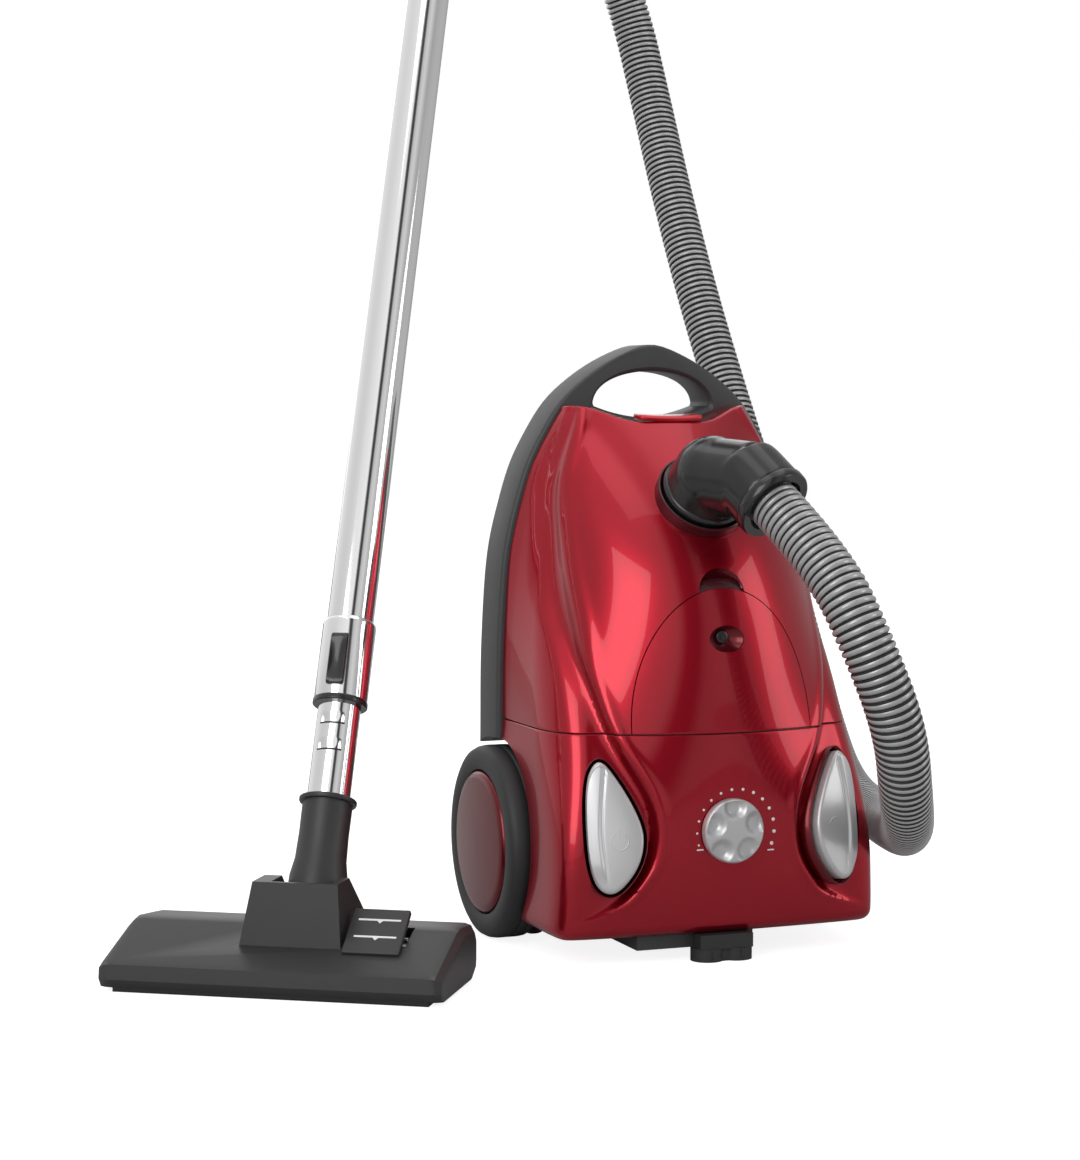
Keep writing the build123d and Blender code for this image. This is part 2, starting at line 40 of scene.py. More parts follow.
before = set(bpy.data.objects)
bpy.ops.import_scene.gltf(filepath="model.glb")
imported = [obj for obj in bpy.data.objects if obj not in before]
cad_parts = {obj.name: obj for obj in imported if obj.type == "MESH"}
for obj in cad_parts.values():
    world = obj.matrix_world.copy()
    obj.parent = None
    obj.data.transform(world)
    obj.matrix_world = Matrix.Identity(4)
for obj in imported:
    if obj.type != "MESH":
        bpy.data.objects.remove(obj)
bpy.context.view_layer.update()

SHELL_SECTIONS = [
    (19, 122.5, 34, -2, -6),
    (90, 121.0, 42, -6, -16),
    (160, 116.5, 64, 12, -13.5),
    (245, 105.0, 86, 36, -4),
    (320, 89.0, 103, 64, 36),
    (384, 72.0, 119, 105, 98),
]
SEAM_Z, SHELL_BACK = 160.0, 125.5
SKIN = 2.4
SEAM_GAP = 0.3
FLARE_START = 22.0
LID_TOP_MIDDLE, LID_TOP_CORNER = 374.5, 386.0
FRAME_SIDE = [
    (123.5, 60), (121.5, 140), (121, 200), (119, 244), (114.5, 287), (106, 321), (98, 345), (85.5, 369),
    (71.5, 389.5), (55, 404.5), (38, 416), (20, 425),
]
FRAME_FRONT, FRAME_BACK, FRAME_LOW, FRAME_TOP = 126.0, 165.0, 17.0, 430.5
WHEEL_R, WHEEL_Y, WELL_R = 70.0, 133.0, 75.0
KNOB = Vector((0, -17, 93))
INLET = Vector((0, 36, 322))
INLET_AXIS = Vector((0, -0.763, 0.645)).normalized()
COVER_HALF, COVER_TOP = 68.0, 260.0
NOTCH_R, NOTCH_Z = 17.0, 256.5
INDICATOR_Z = 225.0
PEDAL_X, PEDAL_Y, PEDAL_Z, PEDAL_TURN, PEDAL_TILT = 88.0, -5.0, 84.0, 22.0, 9.0
HEAD_FRONT = Vector((-333, -20, 0))
HEAD_HEADING = radians(-33.2)
NECK_AT = Vector((12, 60, 32))
ROCKER_AT, ROCKER_TILT = Vector((64, 40.5, 39.5)), radians(36.6)
WAND_LEAN = radians(25)
HOSE_R, RIB_PITCH = 18.5, 5.3
HOSE_ROUTE = [
    (20, -24, 326), (42, -76, 283), (57, -106, 230), (83, -106, 170), (104, -76, 118), (137, -18, 85),
    (173, 64, 72), (202, 150, 67), (214, 238, 80), (230, 312, 126), (236, 374, 204), (233, 430, 296),
    (221, 481, 394), (213, 530, 486), (208, 578, 580), (206, 622, 668), (196, 646, 748), (160, 634, 818),
    (108, 592, 864), (54, 534, 882), (6, 470, 871), (-32, 414, 832),
]


# ---- Materials --------------------------------------------------------------------------------------
def material(name, colour, rough, metal=0.0, coat=0.0, grain=900.0, bump=0.05, mottle=0.05, sheen=0.0):
    """Procedural plastic, metal or rubber: fine grain in the bump, slow variation in colour and roughness."""
    made = bpy.data.materials.new(name)
    made.use_nodes = True
    nodes, links = made.node_tree.nodes, made.node_tree.links
    shader = nodes["Principled BSDF"]
    shader.inputs["Metallic"].default_value = metal
    shader.inputs["Coat Weight"].default_value = coat
    shader.inputs["Coat Roughness"].default_value = 0.04
    shader.inputs["Sheen Weight"].default_value = sheen
    place = nodes.new("ShaderNodeTexCoord")
    cloud = nodes.new("ShaderNodeTexNoise")
    cloud.inputs["Scale"].default_value = 9.0
    cloud.inputs["Detail"].default_value = 4.0
    fine = nodes.new("ShaderNodeTexNoise")
    fine.inputs["Scale"].default_value = grain
    fine.inputs["Detail"].default_value = 3.0
    links.new(place.outputs["Object"], cloud.inputs["Vector"])
    links.new(place.outputs["Object"], fine.inputs["Vector"])
    tint = nodes.new("ShaderNodeValToRGB")
    low, high = [c * (1 - mottle) for c in colour], [min(1, c * (1 + mottle)) for c in colour]
    tint.color_ramp.elements[0].position = 0.3
    tint.color_ramp.elements[0].color = (*low, 1)
    tint.color_ramp.elements[1].position = 0.7
    tint.color_ramp.elements[1].color = (*high, 1)
    links.new(cloud.outputs["Fac"], tint.inputs["Fac"])
    links.new(tint.outputs["Color"], shader.inputs["Base Color"])
    gloss = nodes.new("ShaderNodeMapRange")
    gloss.inputs["To Min"].default_value = max(0.02, rough - 0.04)
    gloss.inputs["To Max"].default_value = rough + 0.04
    links.new(fine.outputs["Fac"], gloss.inputs["Value"])
    links.new(gloss.outputs["Result"], shader.inputs["Roughness"])
    relief = nodes.new("ShaderNodeBump")
    relief.inputs["Strength"].default_value = bump
    relief.inputs["Distance"].default_value = 0.0004
    links.new(fine.outputs["Fac"], relief.inputs["Height"])
    links.new(relief.outputs["Normal"], shader.inputs["Normal"])
    return made


RED = material("red_lacquer", (0.42, 0.002, 0.016), 0.3, 0.8, 0.6, grain=2500, bump=0.02, mottle=0.06)
# Lighter copy of the red lacquer: painted highlight, used on the lid latch at the top.
RED_PAINTED_HIGHLIGHT = material("red_painted_highlight", (0.62, 0.03, 0.045), 0.3, metal=0.6, coat=0.4, grain=2000, bump=0.02)
# Darker copy of the red lacquer: the hubcaps' own dark red, and painted shade in the lid's notch dish, the
# indicator bowl and the trays round the pedals.
DARK_RED_AND_RECESS_SHADE = material("dark_red", (0.15, 0.004, 0.01), 0.3, metal=0.7, coat=0.4, grain=2000, bump=0.02)
# Dark maroon: the inlet collar's colour, and painted shade in the bands behind the lid seam and the cover's
# arch.
MAROON_AND_GAP_SHADE = material("maroon_and_painted_gap_shade", (0.05, 0.004, 0.008), 0.4, coat=0.2, grain=1500)
FRAME_GREY = material("frame_plastic", (0.046, 0.047, 0.049), 0.46, grain=1600, bump=0.14)
CHARCOAL = material("charcoal_plastic", (0.032, 0.032, 0.033), 0.42, grain=1400, bump=0.12)
ELBOW_GREY = material("elbow_plastic", (0.012, 0.012, 0.013), 0.24, coat=0.3, grain=1300, bump=0.04)
RUBBER = material("tyre_rubber", (0.026, 0.027, 0.028), 0.55, grain=1100, bump=0.2)
SILVER = material("silver_lacquer", (0.62, 0.62, 0.63), 0.36, metal=0.55, coat=0.3, grain=2600, bump=0.04)
CHROME = material("chrome", (0.95, 0.95, 0.96), 0.09, metal=1.0, grain=700, bump=0.01, mottle=0.01)
STEEL = material("turned_steel", (0.55, 0.55, 0.57), 0.3, metal=1.0, grain=1500, bump=0.1)
# Near-black for the hose's valleys: painted shade between the ribs.
HOSE_VALLEY_SHADE = material("hose_valley_painted_shade", (0.018, 0.018, 0.02), 0.55, grain=900, bump=0.06)
HOSE_GREY = material("hose_plastic", (0.46, 0.46, 0.465), 0.32, metal=0.35, coat=0.3, grain=900, bump=0.06)
WHITE = material("printed_white", (0.85, 0.85, 0.83), 0.4, grain=1500)
# Black plastic parts, and painted shade in the lines along the wand's notches.
BLACK_AND_NOTCH_SHADE = material("black_plastic_and_notch_shade", (0.012, 0.012, 0.013), 0.3, coat=0.3, grain=1500)
INNER = material("moulded_grey", (0.2, 0.205, 0.21), 0.5, grain=1300, bump=0.12)
SEAL = material("soft_seal", (0.07, 0.07, 0.07), 0.65, grain=1200, bump=0.2, sheen=0.1)
FABRIC = material("bag_fleece", (0.62, 0.58, 0.5), 0.9, grain=500, bump=0.6, mottle=0.12, sheen=0.4)
FELT = material("filter_felt", (0.72, 0.72, 0.7), 0.95, grain=450, bump=0.8, mottle=0.1, sheen=0.3)
BRISTLE = material("bristle", (0.045, 0.045, 0.045), 0.8, grain=300, bump=0.9)
CAST = material("cast_aluminium", (0.6, 0.6, 0.6), 0.4, metal=1.0, grain=900, bump=0.2)
BOARD = material("circuit_board", (0.02, 0.12, 0.05), 0.35, coat=0.5, grain=800)


# ---- Mesh tools -------------------------------------------------------------------------------------
def mesh(name, points, faces, look, smooth=True):
    """A mesh object from millimetre points."""
    data = bpy.data.meshes.new(name)
    data.from_pydata([tuple(float(c) * MM for c in p) for p in points], [], faces)
    data.validate()
    data.update()
    made = bpy.data.objects.new(name, data)
    bpy.context.scene.collection.objects.link(made)
    data.materials.append(look)
    if smooth:
        data.shade_smooth()
    return made


def outward(obj):
    """Turns all faces of a closed mesh outwards."""
    work = bmesh.new()
    work.from_mesh(obj.data)
    bmesh.ops.recalc_face_normals(work, faces=work.faces)
    work.to_mesh(obj.data)
    work.free()


def grid_faces(rows, columns, around=False):
    """Quads between neighbouring rows of points."""
    faces = []
    for i in range(rows - 1):
        for j in range(columns if around else columns - 1):
            k = (j + 1) % columns
            faces.append((i * columns + j, i * columns + k, (i + 1) * columns + k, (i + 1) * columns + j))
    return faces


def rings(name, loops, look, capped=True):
    """A skin over closed loops of equally many points, with its two ends closed."""
    count, size = len(loops), len(loops[0])
    points = [p for loop in loops for p in loop]
    faces = grid_faces(count, size, around=True)
    if capped:
        faces += [tuple(range(size))[::-1], tuple(range((count - 1) * size, count * size))]
    made = mesh(name, points, faces, look)
    outward(made)
    return made


def axes(along, up=(0, 0, 1)):
    """Two unit directions square to a direction."""
    along, up = Vector(along).normalized(), Vector(up)
    if abs(along.dot(up)) > 0.95:
        up = Vector((1, 0, 0))
    side = up.cross(along).normalized()
    return side, along.cross(side)


def turned(name, start, along, profile, look, segments=96):
    """A turned piece: profile lists (distance along the axis, radius), and zero radii close its ends."""
    side, up = axes(along)
    start, along = Vector(start), Vector(along).normalized()
    loops = []
    for reach, radius in profile:
        ring = []
        for k in range(segments):
            turn = 2 * pi * k / segments
            ring.append(start + along * reach + (side * cos(turn) + up * sin(turn)) * max(radius, 0.01))
        loops.append(ring)
    return rings(name, loops, look)


def rod(name, start, end, radius, look=BLACK_AND_NOTCH_SHADE, segments=64):
    """A plain round bar, used as a cutter or joined into a bigger piece."""
    start, end = Vector(start), Vector(end)
    return turned(name, start, end - start, [(0, radius), ((end - start).length, radius)], look, segments)


def prism(name, outline, y0, y1, look=BLACK_AND_NOTCH_SHADE):
    """An outline in X and Z, drawn out along Y."""
    loops = [[(x, y, z) for x, z in outline] for y in (y0, y1)]
    return rings(name, loops, look)


def block(name, centre, size, look, turn=None, round_edge=0.0, segments=3):
    """A block with rounded edges."""
    work = bmesh.new()
    bmesh.ops.create_cube(work, size=1.0)
    if turn is None:
        turn = Matrix.Identity(3)
    place = Matrix.Translation(Vector(centre)) @ turn.to_4x4() @ Matrix.Diagonal((*size, 1))
    bmesh.ops.transform(work, matrix=place, verts=work.verts)
    if round_edge:
        bmesh.ops.bevel(
            work, geom=work.edges, offset=round_edge, segments=segments,
            profile=0.5, affect="EDGES", clamp_overlap=True,
        )
    points = [v.co.copy() for v in work.verts]
    faces = [tuple(v.index for v in f.verts) for f in work.faces]
    work.free()
    made = mesh(name, points, faces, look)
    outward(made)
    return made


def apply_all(obj):
    """Replaces the object's mesh with the result of its modifiers."""
    bpy.context.view_layer.update()
    result = bpy.data.meshes.new_from_object(obj.evaluated_get(bpy.context.evaluated_depsgraph_get()))
    obj.modifiers.clear()
    obj.data = result
    return obj


def cut(obj, cutters, how="DIFFERENCE"):
    """Boolean of a closed mesh with closed cutters, which are then deleted."""
    for cutter in cutters:
        step = obj.modifiers.new("cut", "BOOLEAN")
        step.operation, step.solver, step.object = how, "MANIFOLD", cutter
        apply_all(obj)
        bpy.data.objects.remove(cutter)
    return obj


def soften(obj, width=0.5, angle=30, segments=2):
    """Rounds the sharp edges and shades the rest smooth."""
    step = obj.modifiers.new("round", "BEVEL")
    step.width, step.segments = width * MM, segments
    step.limit_method, step.angle_limit = "ANGLE", radians(angle)
    apply_all(obj)
    by_angle(obj, 35)
    flat = obj.modifiers.new("flat", "WEIGHTED_NORMAL")
    flat.keep_sharp = True
    return apply_all(obj)


def by_angle(obj, angle=30):
    """Smooth shading with creases where faces meet at more than the angle."""
    obj.data.shade_smooth()
    obj.data.set_sharp_from_angle(angle=radians(angle))
    return obj


def thicken(obj, thickness=SKIN):
    """Gives an open skin its wall, inwards."""
    step = obj.modifiers.new("wall", "SOLIDIFY")
    step.thickness, step.offset = thickness * MM, -1
    return apply_all(obj)


def join(name, pieces):
    """One object from several meshes."""
    work = bmesh.new()
    looks = []
    for piece in pieces:
        for look in piece.data.materials:
            if look not in looks:
                looks.append(look)
    for piece in pieces:
        before = len(work.faces)
        work.from_mesh(piece.data)
        work.faces.ensure_lookup_table()
        index = looks.index(piece.data.materials[0])
        for face in work.faces[before:]:
            face.material_index = index
    data = bpy.data.meshes.new(name)
    work.to_mesh(data)
    work.free()
    for look in looks:
        data.materials.append(look)
    for piece in pieces:
        bpy.data.objects.remove(piece)
    made = bpy.data.objects.new(name, data)
    bpy.context.scene.collection.objects.link(made)
    return made


def settle(obj, body, nodes=()):
    """Ties a finished piece to its CAD body and hides the CAD nodes it replaces."""
    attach(obj, body)
    if nodes:
        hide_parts(*nodes)
    return obj


def natural(heights, values):
    """Natural cubic curve through a few values."""
    x, y = np.array(heights, float), np.array(values, float)
    n, h = len(x), np.diff(x)
    a, b = np.zeros((n, n)), np.zeros(n)
    a[0, 0] = a[-1, -1] = 1
    for i in range(1, n - 1):
        a[i, i - 1 : i + 2] = h[i - 1], 2 * (h[i - 1] + h[i]), h[i]
        b[i] = 6 * ((y[i + 1] - y[i]) / h[i] - (y[i] - y[i - 1]) / h[i - 1])
    m = np.linalg.solve(a, b)

    def curve(at):
        at = np.clip(np.asarray(at, float), x[0] - 5, x[-1] + 5)
        i = np.clip(np.searchsorted(x, at) - 1, 0, n - 2)
        t, u, d = at - x[i], x[i + 1] - at, h[i]
        bend = (m[i] * u**3 + m[i + 1] * t**3) / (6 * d)
        return bend + (y[i] / d - m[i] * d / 6) * u + (y[i + 1] / d - m[i + 1] * d / 6) * t

    return curve


def smooth_step(value):
    value = np.clip(value, 0, 1)
    return value * value * (3 - 2 * value)


# ---- Surface of the red shells ----------------------------------------------------------------------
HEIGHTS = [s[0] for s in SHELL_SECTIONS]
HALF, SIDE_Y, SHOULDER_Y, NOSE_Y = [natural(HEIGHTS, [s[k] for s in SHELL_SECTIONS]) for k in (1, 2, 3, 4)]
FRAME_HALF = natural([z for _, z in FRAME_SIDE], [h for h, _ in FRAME_SIDE])
# Raised hood: half width of its edge, of the foot of the step beside it, and of the ridge outside that valley
CREASE = natural(
    [33, 41, 53, 67, 83, 97, 114, 131, 152, 181, 206, 235, 267, 295, 331, 368, 390],
    [106, 81, 67, 57, 51.5, 51, 54, 61.5, 74, 84, 89, 90, 91, 90, 85, 71, 60],
)
FOOT = natural(
    [33, 41, 50, 63.5, 80, 96, 112, 132, 148, 173, 192, 211, 231, 250, 275, 300, 331, 368, 390],
    [109, 89, 76, 66, 60, 58.4, 62, 72.7, 81, 90, 94.5, 99, 101, 101.5, 99.5, 96, 90, 76, 66],
)


def valley(x, z):
    """How far the shell is drawn in beside the raised hood."""
    x = np.abs(x)
    depth = 7.0 * smooth_step((z - 30) / 26) * (1 - 0.6 * smooth_step((z - 250) / 110))
    inner, foot = CREASE(z), FOOT(z)
    ridge = np.maximum(foot + 7, np.minimum(HALF(z) + 2, 112 - 0.02 * z))
    down = smooth_step((x - inner) / (foot - inner))
    back = smooth_step((x - foot) / (ridge - foot))
    lip = 0.9 * np.exp(-(((x - inner + 3) / 3.0) ** 2)) * smooth_step((z - 30) / 26)
    return lip - depth * down * (1 - 0.93 * back)


def column_kinds(sides=34, corner=26, arc=96):
    """Which stretch of the outline each column of points lies on, and how far along."""
    left = [(0, k / sides) for k in range(sides)] + [(1, k / corner) for k in range(corner)]
    front = [(2, k / arc) for k in range(arc)]
    right = [(3, k / corner) for k in range(corner)] + [(4, k / sides) for k in range(sides + 1)]
    return np.array(left + front + right)


COLUMNS = column_kinds()


def shell_points(z, draw_in=0.0, carved=True):
    """Points on the shell for each column, at that column's own height."""
    kind, t = COLUMNS[:, 0], COLUMNS[:, 1]
    half, side_y, shoulder_y, nose_y = HALF(z), SIDE_Y(z), SHOULDER_Y(z), NOSE_Y(z)
    shoulder, rise = 0.8 * half, shoulder_y - nose_y
    radius = (shoulder**2 + rise**2) / (2 * rise)
    corner_y = shoulder_y + (half - shoulder) * shoulder / (radius - rise)
    weight = 1 + 1.3 * (1 - smooth_step((z - 50) / 120))
    x, y = np.zeros_like(z), np.zeros_like(z)
    for sign, side_kind, corner_kind in ((-1, 0, 1), (1, 4, 3)):
        on_side, on_corner = kind == side_kind, kind == corner_kind
        along = t if sign < 0 else 1 - t
        x = np.where(on_side, sign * half, x)
        y = np.where(on_side, SHELL_BACK + (side_y - SHELL_BACK) * along, y)
        a, b, c = (1 - along) ** 2, 2 * weight * along * (1 - along), along**2
        total = a + b + c
        x = np.where(on_corner, sign * (a * half + b * half + c * shoulder) / total, x)
        y = np.where(on_corner, (a * side_y + b * corner_y + c * shoulder_y) / total, y)
    swing = np.arcsin(np.clip(shoulder / radius, -1, 1))
    angle = -swing + 2 * swing * t
    x = np.where(kind == 2, radius * np.sin(angle), x)
    y = np.where(kind == 2, nose_y + radius - radius * np.cos(angle), y)
    share = np.clip((y - side_y + FLARE_START) / (SHELL_BACK - side_y + FLARE_START), 0, 1)
    flare = np.maximum(0, FRAME_HALF(z) - 4.5 - half) * share**1.25
    x = np.where(kind == 2, x, x + np.sign(x) * flare)
    tx, ty = np.gradient(x), np.gradient(y)
    size = np.hypot(tx, ty) + 1e-9
    nx, ny = ty / size, -tx / size
    push = -draw_in + (valley(x, z) if carved else 0)
    fade = smooth_step((SHELL_BACK - y) / 12)
    push = push * fade - draw_in * (1 - fade)
    return np.stack([x + nx * push, y + ny * push, z], axis=1)


def rounded_rows(low, high, count, low_edge, high_edge):
    """Heights of the rows with how far each is drawn in: both rims are rounded."""
    turns = np.linspace(0, pi / 2, 6)
    rows = [(low + low_edge * (1 - cos(a)), low_edge * (1 - sin(a))) for a in turns[:-1]]
    rows += [(z, 0.0) for z in np.linspace(low + low_edge, high - high_edge, count)]
    rows += [(high - high_edge * (1 - sin(a)), high_edge * (1 - cos(a))) for a in turns[1:]]
    return rows


def lower_shell():
    """The body's red lower half, closed below."""
    points, count = [], 0
    for z, inset in rounded_rows(19, SEAM_Z - SEAM_GAP, 78, 8, 0.7):
        points += list(shell_points(np.full(len(COLUMNS), z), inset))
        count += 1
    width = len(COLUMNS)
    centre = []
    for share in (0.7, 0.35, 0.05):
        ring = [(p[0] * share, SHELL_BACK - 0.4 - (SHELL_BACK - p[1]) * share, 19) for p in points[:width]]
        centre.append(ring)
    rows = [p for ring in reversed(centre) for p in ring]
    return mesh("front_shell_visual", rows + points, grid_faces(count + 3, width), RED)


def lid_shell():
    """The red lid, with its dipping top edge and the narrow ledge behind it."""
    top_x = np.abs(shell_points(np.full(len(COLUMNS), 384.0), 0, carved=False)[:, 0])
    top = LID_TOP_MIDDLE + (LID_TOP_CORNER - LID_TOP_MIDDLE) * smooth_step((top_x - 22) / 46)
    points, count = [], 0
    for share, inset in rounded_rows(0, 1, 120, 0.004, 0.006):
        low = SEAM_Z + SEAM_GAP
        scale = 170 if share < 0.5 else 300
        points += list(shell_points(low + (top - low) * share, inset * scale))
        count += 1
    last = np.array(points[-len(COLUMNS) :])
    for share in (0.3, 0.65, 1.0):
        ledge = last.copy()
        ledge[:, 1] += (SHELL_BACK + 0.2 - last[:, 1]) * share
        points += list(ledge)
        count += 1
    return mesh("dust_lid_visual", points, grid_faces(count, len(COLUMNS)), RED)


def arch(grow):
    """Outline of the accessory cover in X and Z."""
    half, base = COVER_HALF + grow, SEAM_Z + SEAM_GAP
    turns = [pi * k / 96 for k in range(97)]
    outline = [(half * cos(t), base + (COVER_TOP - base + grow) * sin(t)) for t in turns]
    return [(half, base - 12)] + outline + [(-half, base - 12)]


def ellipse(half_x, half_z, z, count=72):
    turns = [2 * pi * k / count for k in range(count)]
    return [(half_x * cos(t), z + half_z * sin(t)) for t in turns]


def pedal_frame(side):
    """Origin and directions of a pedal: across, up and out of the shell."""
    turn, tilt = radians(PEDAL_TURN), radians(PEDAL_TILT)
    out = Vector((side * sin(turn) * cos(tilt), -cos(turn) * cos(tilt), sin(tilt)))
    over = Vector((cos(turn), side * sin(turn), 0))
    return Vector((side * PEDAL_X, PEDAL_Y, PEDAL_Z)), over, out.cross(over), out


PEDAL_LEAF = [
    (-4, 58), (6, 47), (15, 33), (22.5, 17.5), (25, 4), (22, -11), (14, -24), (4, -31.5), (-6, -27.5),
    (-11.5, -14), (-14, 4), (-15, 26), (-14.2, 43), (-11, 54),
]


def pedal_outline(side, grow, count=120):
    """Leaf outline of a pedal, as one smooth closed curve pushed out by grow."""
    knots = np.array(PEDAL_LEAF + PEDAL_LEAF[:1], float)
    turns = len(PEDAL_LEAF)
    around = np.concatenate([knots[:-1]] * 3 + [knots[:1]])
    fx, fy = [natural(range(3 * turns + 1), around[:, k]) for k in (0, 1)]
    at = turns + np.linspace(0, turns, count, endpoint=False)
    x, y = fx(at), fy(at)
    tx, ty = np.roll(x, -1) - np.roll(x, 1), np.roll(y, -1) - np.roll(y, 1)
    size = np.hypot(tx, ty)
    x, y = x - grow * ty / size, y + grow * tx / size
    return list(zip(-side * x, y))


def pedal_place(side, x, y, rise):
    """A point on a pedal: across it, up it and out of the shell."""
    origin, over, up, out = pedal_frame(side)
    return origin + over * x + up * y + out * rise


def wheel_well(side, inner):
    """Cutter for the round space that a rear wheel stands in."""
    start, end = (side * inner, WHEEL_Y, WHEEL_R), (side * 160, WHEEL_Y, WHEEL_R)
    return rod("well", start, end, WELL_R + 1, segments=128)


lower = thicken(lower_shell())
cutters = []
for side in (-1, 1):
    cutters.append(wheel_well(side, 88))
    window = [[pedal_place(side, x, y, rise) for x, y in pedal_outline(side, 2.4)] for rise in (-40, 40)]
    cutters.append(rings("window", window, BLACK_AND_NOTCH_SHADE))
cut(lower, cutters)
settle(by_angle(lower), "canister", ["front_shell"])

whole_lid = thicken(lid_shell())
cover = whole_lid.copy()
cover.data = whole_lid.data.copy()
cover.name = "accessory_cover_visual"
bpy.context.scene.collection.objects.link(cover)
lid = cut(
    whole_lid,
    [
        prism("arch", arch(0.35), -70, 60),
        rod("notch", (0, -60, NOTCH_Z), (0, 60, NOTCH_Z), NOTCH_R),
        rod("inlet", INLET - INLET_AXIS * 40, INLET + INLET_AXIS * 40, 33.2, segments=96),
        block("latch_slot", (0, 92, 378), (51.6, 22, 6.5), BLACK_AND_NOTCH_SHADE),
    ],
)
settle(by_angle(lid), "lid", ["dust_lid"])
cut(cover, [prism("arch", arch(-0.35), -70, 60)], "INTERSECT")
cut(cover, [prism("window", ellipse(13, 9.3, INDICATOR_Z), -60, 60)])
settle(by_angle(cover), "cover", ["accessory_cover"])


def front_y(x, z):
    """Where the red front surface is."""
    points = shell_points(np.full(len(COLUMNS), float(z)))
    front = points[COLUMNS[:, 0] == 2]
    return float(np.interp(x, front[:, 0], front[:, 1]))


def sunk_oval(name, half_x, half_z, middle_z, deep, power, look):
    """A dished oval that starts at the front surface and sinks to its middle."""
    loops = []
    for share in np.linspace(1, 0.02, 18):
        loop = []
        for turn in np.linspace(0, 2 * pi, 72, endpoint=False):
            x, z = half_x * share * cos(turn), middle_z + half_z * share * sin(turn)
            loop.append((x, front_y(x, z) + 0.7 + deep * (1 - share**power), z))
        loops.append(loop)
    points = [p for loop in loops for p in loop]
    return thicken(mesh(name, points, grid_faces(18, 72, around=True), look), 1.0)


# Dark red dish in the lid's notch: painted shade in the recess.
notch_shade_dish = sunk_oval("notch_shade_dish", NOTCH_R + 0.6, NOTCH_R + 0.6, NOTCH_Z, 9, 2.4, DARK_RED_AND_RECESS_SHADE)
settle(cut(notch_shade_dish, [prism("arch", arch(1.2), -70, 60)]), "lid")
# The indicator's sunk bowl takes the darker red: painted shade in the recess.
indicator = sunk_oval("bowl", 13.3, 9.6, INDICATOR_Z, 6.5, 2.0, DARK_RED_AND_RECESS_SHADE)
spot_at = (-2.2, front_y(0, INDICATOR_Z) + 7.0, INDICATOR_Z + 1.2)
spot = turned("spot", spot_at, (0, -1, 0), [(0, 4.4), (2.6, 4.4), (3.3, 3.9), (2.9, 2), (2.7, 0)], BLACK_AND_NOTCH_SHADE, 48)
settle(join("dust_indicator_visual", [indicator, spot]), "cover", ["dust_indicator"])


def seam_shade_band():
    """A narrow dark band behind the seam: painted shade, so that the gap between shell and lid is dark."""
    heights = np.linspace(SEAM_Z - 8, SEAM_Z + 7, 4)
    rows = [shell_points(np.full(len(COLUMNS), z), SKIN + 0.5) for z in heights]
    points = [p for row in rows for p in row]
    return thicken(mesh("seam_shade_band", points, grid_faces(4, len(COLUMNS)), MAROON_AND_GAP_SHADE), 1.2)


settle(seam_shade_band(), "canister")
# A dark band behind the cover's arch: painted shade in the gap round the cover.
arch_loops = []
for grow in (-5, 6):
    loop = [(x, front_y(x, max(z, SEAM_Z + 1)) + SKIN + 0.9, z) for x, z in arch(grow)[1:-1]]
    arch_loops.append(loop)
arch_points = [p for loop in arch_loops for p in loop]
arch_shade_band = mesh("arch_shade_band", arch_points, grid_faces(2, len(arch_loops[0])), MAROON_AND_GAP_SHADE)
settle(thicken(arch_shade_band, 1.0), "lid")

latch_loops = []
for x in np.linspace(-25.4, 25.4, 33):
    bow = 1.2 * (x / 25.4) ** 2
    edge = 0.4 + 0.6 * sqrt(max(0, 1 - (abs(x) / 25.41) ** 12))
    outline = [(87.5, 375), (87.0, 376.6), (88.5, 378.4), (104, 379.6), (104, 374.6), (88.5, 374.2)]
    latch_loops.append([(x, 96 + (y - 96) * edge + bow, 377 + (z - 377) * edge + bow) for y, z in outline])
# The latch takes the lighter red copy: painted highlight on the top of the lid.
latch = soften(rings("lid_latch_visual", latch_loops, RED_PAINTED_HIGHLIGHT), 0.5, 40)
settle(latch, "latch", ["lid_latch"])


